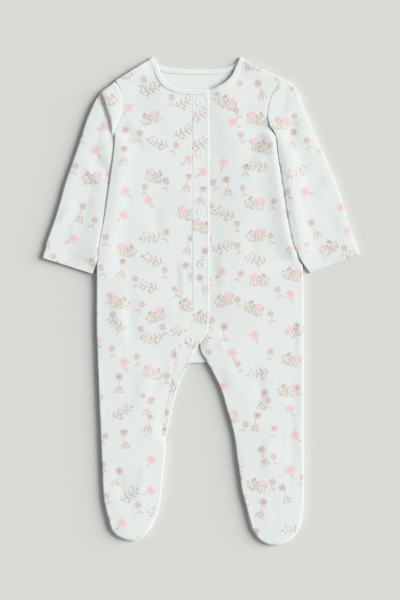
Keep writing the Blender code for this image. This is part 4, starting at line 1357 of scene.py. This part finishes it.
def printed_colour(tree, cloth, ground):
    """Tossed wild flowers and sprigs in pink, rose, tan and sage."""
    wobble = tree.node("ShaderNodeTexNoise", {"Vector": cloth, "Scale": 0.42, "Detail": 1.0})
    wobble = tree.vector("SUBTRACT", wobble.outputs["Color"], (0.5, 0.5, 0.5))
    drawn = tree.vector("ADD", cloth, tree.vector("MULTIPLY", wobble, (2.4, 2.4, 0.0)))
    wash = tree.ramp(tree.noise(cloth, 0.45, 3.0), 0.32, 0.62, 0.45, 1.0)
    place, chances, value = cell_layout(tree, drawn, (0.0, 0.0), 3.0)
    place = tossed(tree, place, chances)
    colour = ground
    for motif, low, high in TOSSED:
        chosen = tree.math("MULTIPLY", tree.math("GREATER_THAN", value, low),
                           tree.math("LESS_THAN", value, high))
        colour = paint(tree, colour, place, motif,
                       tree.math("MULTIPLY", chosen, tree.math("MULTIPLY", wash, INK)))
    place, chances, value = cell_layout(tree, drawn, FILLER_AT, 9.0)
    place = tossed(tree, place, chances)
    shown = tree.math("MULTIPLY", tree.math("GREATER_THAN", value, FILLER_SHARE),
                      tree.math("MULTIPLY", wash, INK))
    return paint(tree, colour, place, BUD, shown)


def knit_bump(tree, cloth, strength):
    """Fine ribs and courses of interlock, with a little fuzz."""
    split = tree.node("ShaderNodeSeparateXYZ", {"Vector": cloth})
    course = tree.math("MULTIPLY", split.outputs[1], 2 * math.pi / 0.85)
    lean = tree.math("MULTIPLY", tree.math("SINE", course), 0.12)
    rib = tree.math("SINE", tree.math("MULTIPLY", tree.math("ADD", split.outputs[0], lean),
                                      2 * math.pi / 0.9))
    loops = tree.math("MULTIPLY_ADD", tree.math("SINE", tree.math("MULTIPLY", course, 2.0)),
                      0.25, rib)
    fuzz = tree.noise(cloth, 2.4, 3.0)
    height = tree.math("MULTIPLY_ADD", fuzz, 1.2, loops)
    bump = tree.node("ShaderNodeBump", {"Height": height, "Strength": strength,
                                        "Distance": 0.00012})
    return bump.outputs[0]


def cloth_vector(tree):
    uv = tree.node("ShaderNodeUVMap", uv_map="cloth")
    return tree.vector("MULTIPLY", uv.outputs[0], (1000.0, 1000.0, 0.0))


def knit_material(name, white, with_print):
    material, tree, shader = new_material(name)
    cloth = cloth_vector(tree)
    mottle = tree.ramp(tree.noise(cloth, 0.035, 3.0), 0.3, 0.7)
    warm = tuple(w * f for w, f in zip(white, (1.012, 1.0, 0.982)))
    cool = tuple(w * f for w, f in zip(white, (0.982, 0.992, 1.0)))
    ground = tree.mix(mottle, cool, warm)
    speck = tree.ramp(tree.noise(cloth, 1.6, 2.0), 0.35, 0.65, 0.975, 1.0)
    colour = ground
    if with_print:
        mask = tree.node("ShaderNodeAttribute", attribute_name="printed").outputs["Fac"]
        colour = tree.mix(mask, ground, printed_colour(tree, cloth, ground))
    shaded = tree.vector("SCALE", colour)
    shaded.node.inputs["Scale"].default_value = 1.0
    tree.links.new(speck, shaded.node.inputs["Scale"])
    tree.links.new(shaded, shader.inputs["Base Color"])
    tree.links.new(tree.ramp(tree.noise(cloth, 0.5, 2.0), 0.3, 0.7, 0.82, 0.93),
                   shader.inputs["Roughness"])
    tree.links.new(knit_bump(tree, cloth, 0.35), shader.inputs["Normal"])
    shader.inputs["Sheen Weight"].default_value = 0.12
    shader.inputs["Sheen Roughness"].default_value = 0.6
    shader.inputs["Specular IOR Level"].default_value = 0.2
    return material


def thread_material():
    material, tree, shader = new_material("cotton_thread")
    cloth = cloth_vector(tree)
    twist = tree.noise(cloth, 3.0, 2.0)
    dull = tuple(0.93 * c for c in THREAD_WHITE)
    tree.links.new(tree.mix(twist, dull, THREAD_WHITE), shader.inputs["Base Color"])
    bump = tree.node("ShaderNodeBump", {"Height": twist, "Strength": 0.4, "Distance": 0.0001})
    tree.links.new(bump.outputs[0], shader.inputs["Normal"])
    shader.inputs["Roughness"].default_value = 0.7
    shader.inputs["Sheen Weight"].default_value = 0.1
    return material


def plastic_material():
    material, tree, shader = new_material("pearly_plastic")
    cloth = cloth_vector(tree)
    cloud = tree.noise(cloth, 0.5, 2.0)
    dull = tuple(0.965 * c for c in PLASTIC_WHITE)
    tree.links.new(tree.mix(cloud, dull, PLASTIC_WHITE), shader.inputs["Base Color"])
    tree.links.new(tree.ramp(tree.noise(cloth, 1.5, 3.0), 0.3, 0.7, 0.42, 0.54),
                   shader.inputs["Roughness"])
    shader.inputs["Coat Weight"].default_value = 0.25
    shader.inputs["Coat Roughness"].default_value = 0.2
    return material


def floor_material():
    material, tree, shader = new_material("pale_floor")
    place = tree.node("ShaderNodeTexCoord").outputs["Object"]
    grain = tree.noise(place, 6.0, 3.0)
    lighter = tuple(1.012 * c for c in FLOOR_GREY)
    tree.links.new(tree.mix(grain, FLOOR_GREY, lighter), shader.inputs["Base Color"])
    shader.inputs["Roughness"].default_value = 0.95
    shader.inputs["Specular IOR Level"].default_value = 0.0
    return material


# ---------------------------------------------------------------- camera, light and floor

PICTURE_HEIGHT = 0.720
CAMERA_AWAY = 3.2
CAMERA_OVER = (-0.00034, 0.00204)
SENSOR = 24.0
SUN_ANGLE = 44.0         # width of the soft light, in degrees
SUN_HEIGHT = 25.5        # above the surface
SUN_TURN = 11.0          # from the wearer's left towards the neck
SUN_STRENGTH = 5.82
SKY = (0.93, 0.97, 1.0)
SKY_STRENGTH = 0.42


def make_camera():
    camera = bpy.data.objects.new("camera", bpy.data.cameras.new("camera"))
    camera.location = (*CAMERA_OVER, CAMERA_AWAY)
    camera.data.sensor_fit = "VERTICAL"
    camera.data.sensor_height = SENSOR
    camera.data.lens = SENSOR * CAMERA_AWAY / PICTURE_HEIGHT
    bpy.context.scene.collection.objects.link(camera)
    bpy.context.scene.camera = camera


def make_light():
    sun = bpy.data.objects.new("soft_light", bpy.data.lights.new("soft_light", "SUN"))
    sun.data.energy = SUN_STRENGTH
    sun.data.angle = math.radians(SUN_ANGLE)
    height, turn = math.radians(SUN_HEIGHT), math.radians(SUN_TURN)
    towards = Vector((math.cos(height) * math.cos(turn), math.cos(height) * math.sin(turn),
                      math.sin(height)))
    sun.rotation_euler = towards.to_track_quat("Z", "Y").to_euler()
    bpy.context.scene.collection.objects.link(sun)
    world = bpy.data.worlds.new("soft_sky")
    world.use_nodes = True
    background = world.node_tree.nodes["Background"]
    background.inputs["Color"].default_value = (*SKY, 1.0)
    background.inputs["Strength"].default_value = SKY_STRENGTH
    bpy.context.scene.world = world
    bpy.context.scene.view_settings.view_transform = "Khronos PBR Neutral"


def make_floor():
    mesh = bpy.data.meshes.new("floor")
    half = 6.0
    drop = -0.0002
    mesh.from_pydata([(-half, -half, drop), (half, -half, drop), (half, half, drop),
                      (-half, half, drop)], [], [(0, 1, 2, 3)])
    floor = bpy.data.objects.new("floor", mesh)
    mesh.materials.append(floor_material())
    bpy.context.scene.collection.objects.link(floor)


# ---------------------------------------------------------------- assembly

def dress(obj, material, slot, *nodes):
    """Material and body of a finished piece, with the CAD nodes that it replaces hidden."""
    obj.data.materials.append(material)
    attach(obj, "root")
    if nodes:
        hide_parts(*nodes)
    return obj


def build():
    make_camera()
    make_light()
    make_floor()
    printed = knit_material("printed_interlock", WHITE, True)
    plain = knit_material("band_interlock", BINDING_WHITE, False)
    thread = thread_material()
    plastic = plastic_material()

    back = dress(make_back(), printed, "printed_knit", "back")
    sleeves = {}
    soles = {}
    for side in SIDES:
        dress(make_front(side), printed, "printed_knit", "front_" + side)
        sleeves[side] = dress(make_sleeve(side), printed, "printed_knit", "sleeve_" + side)
        soles[side] = dress(make_sole(side), printed, "printed_knit", "sole_" + side)
    over = dress(make_band("band_over", "snap_band_over", 1.25, 1), printed, "band_knit",
                 "band_over")
    under = dress(make_band("band_under", "snap_band_under", 1.5, 0), plain, "band_knit",
                  "band_under")
    neck = dress(make_neckband(), plain, "band_knit", "neckband")
    for piece, node in make_snaps(tree_of(over)):
        dress(piece, plastic, "snap_plastic", node)

    threads = sew(sleeves, soles, over, neck)
    for rows in threads.values():
        for piece in rows:
            dress(piece, thread, "band_knit")


build()
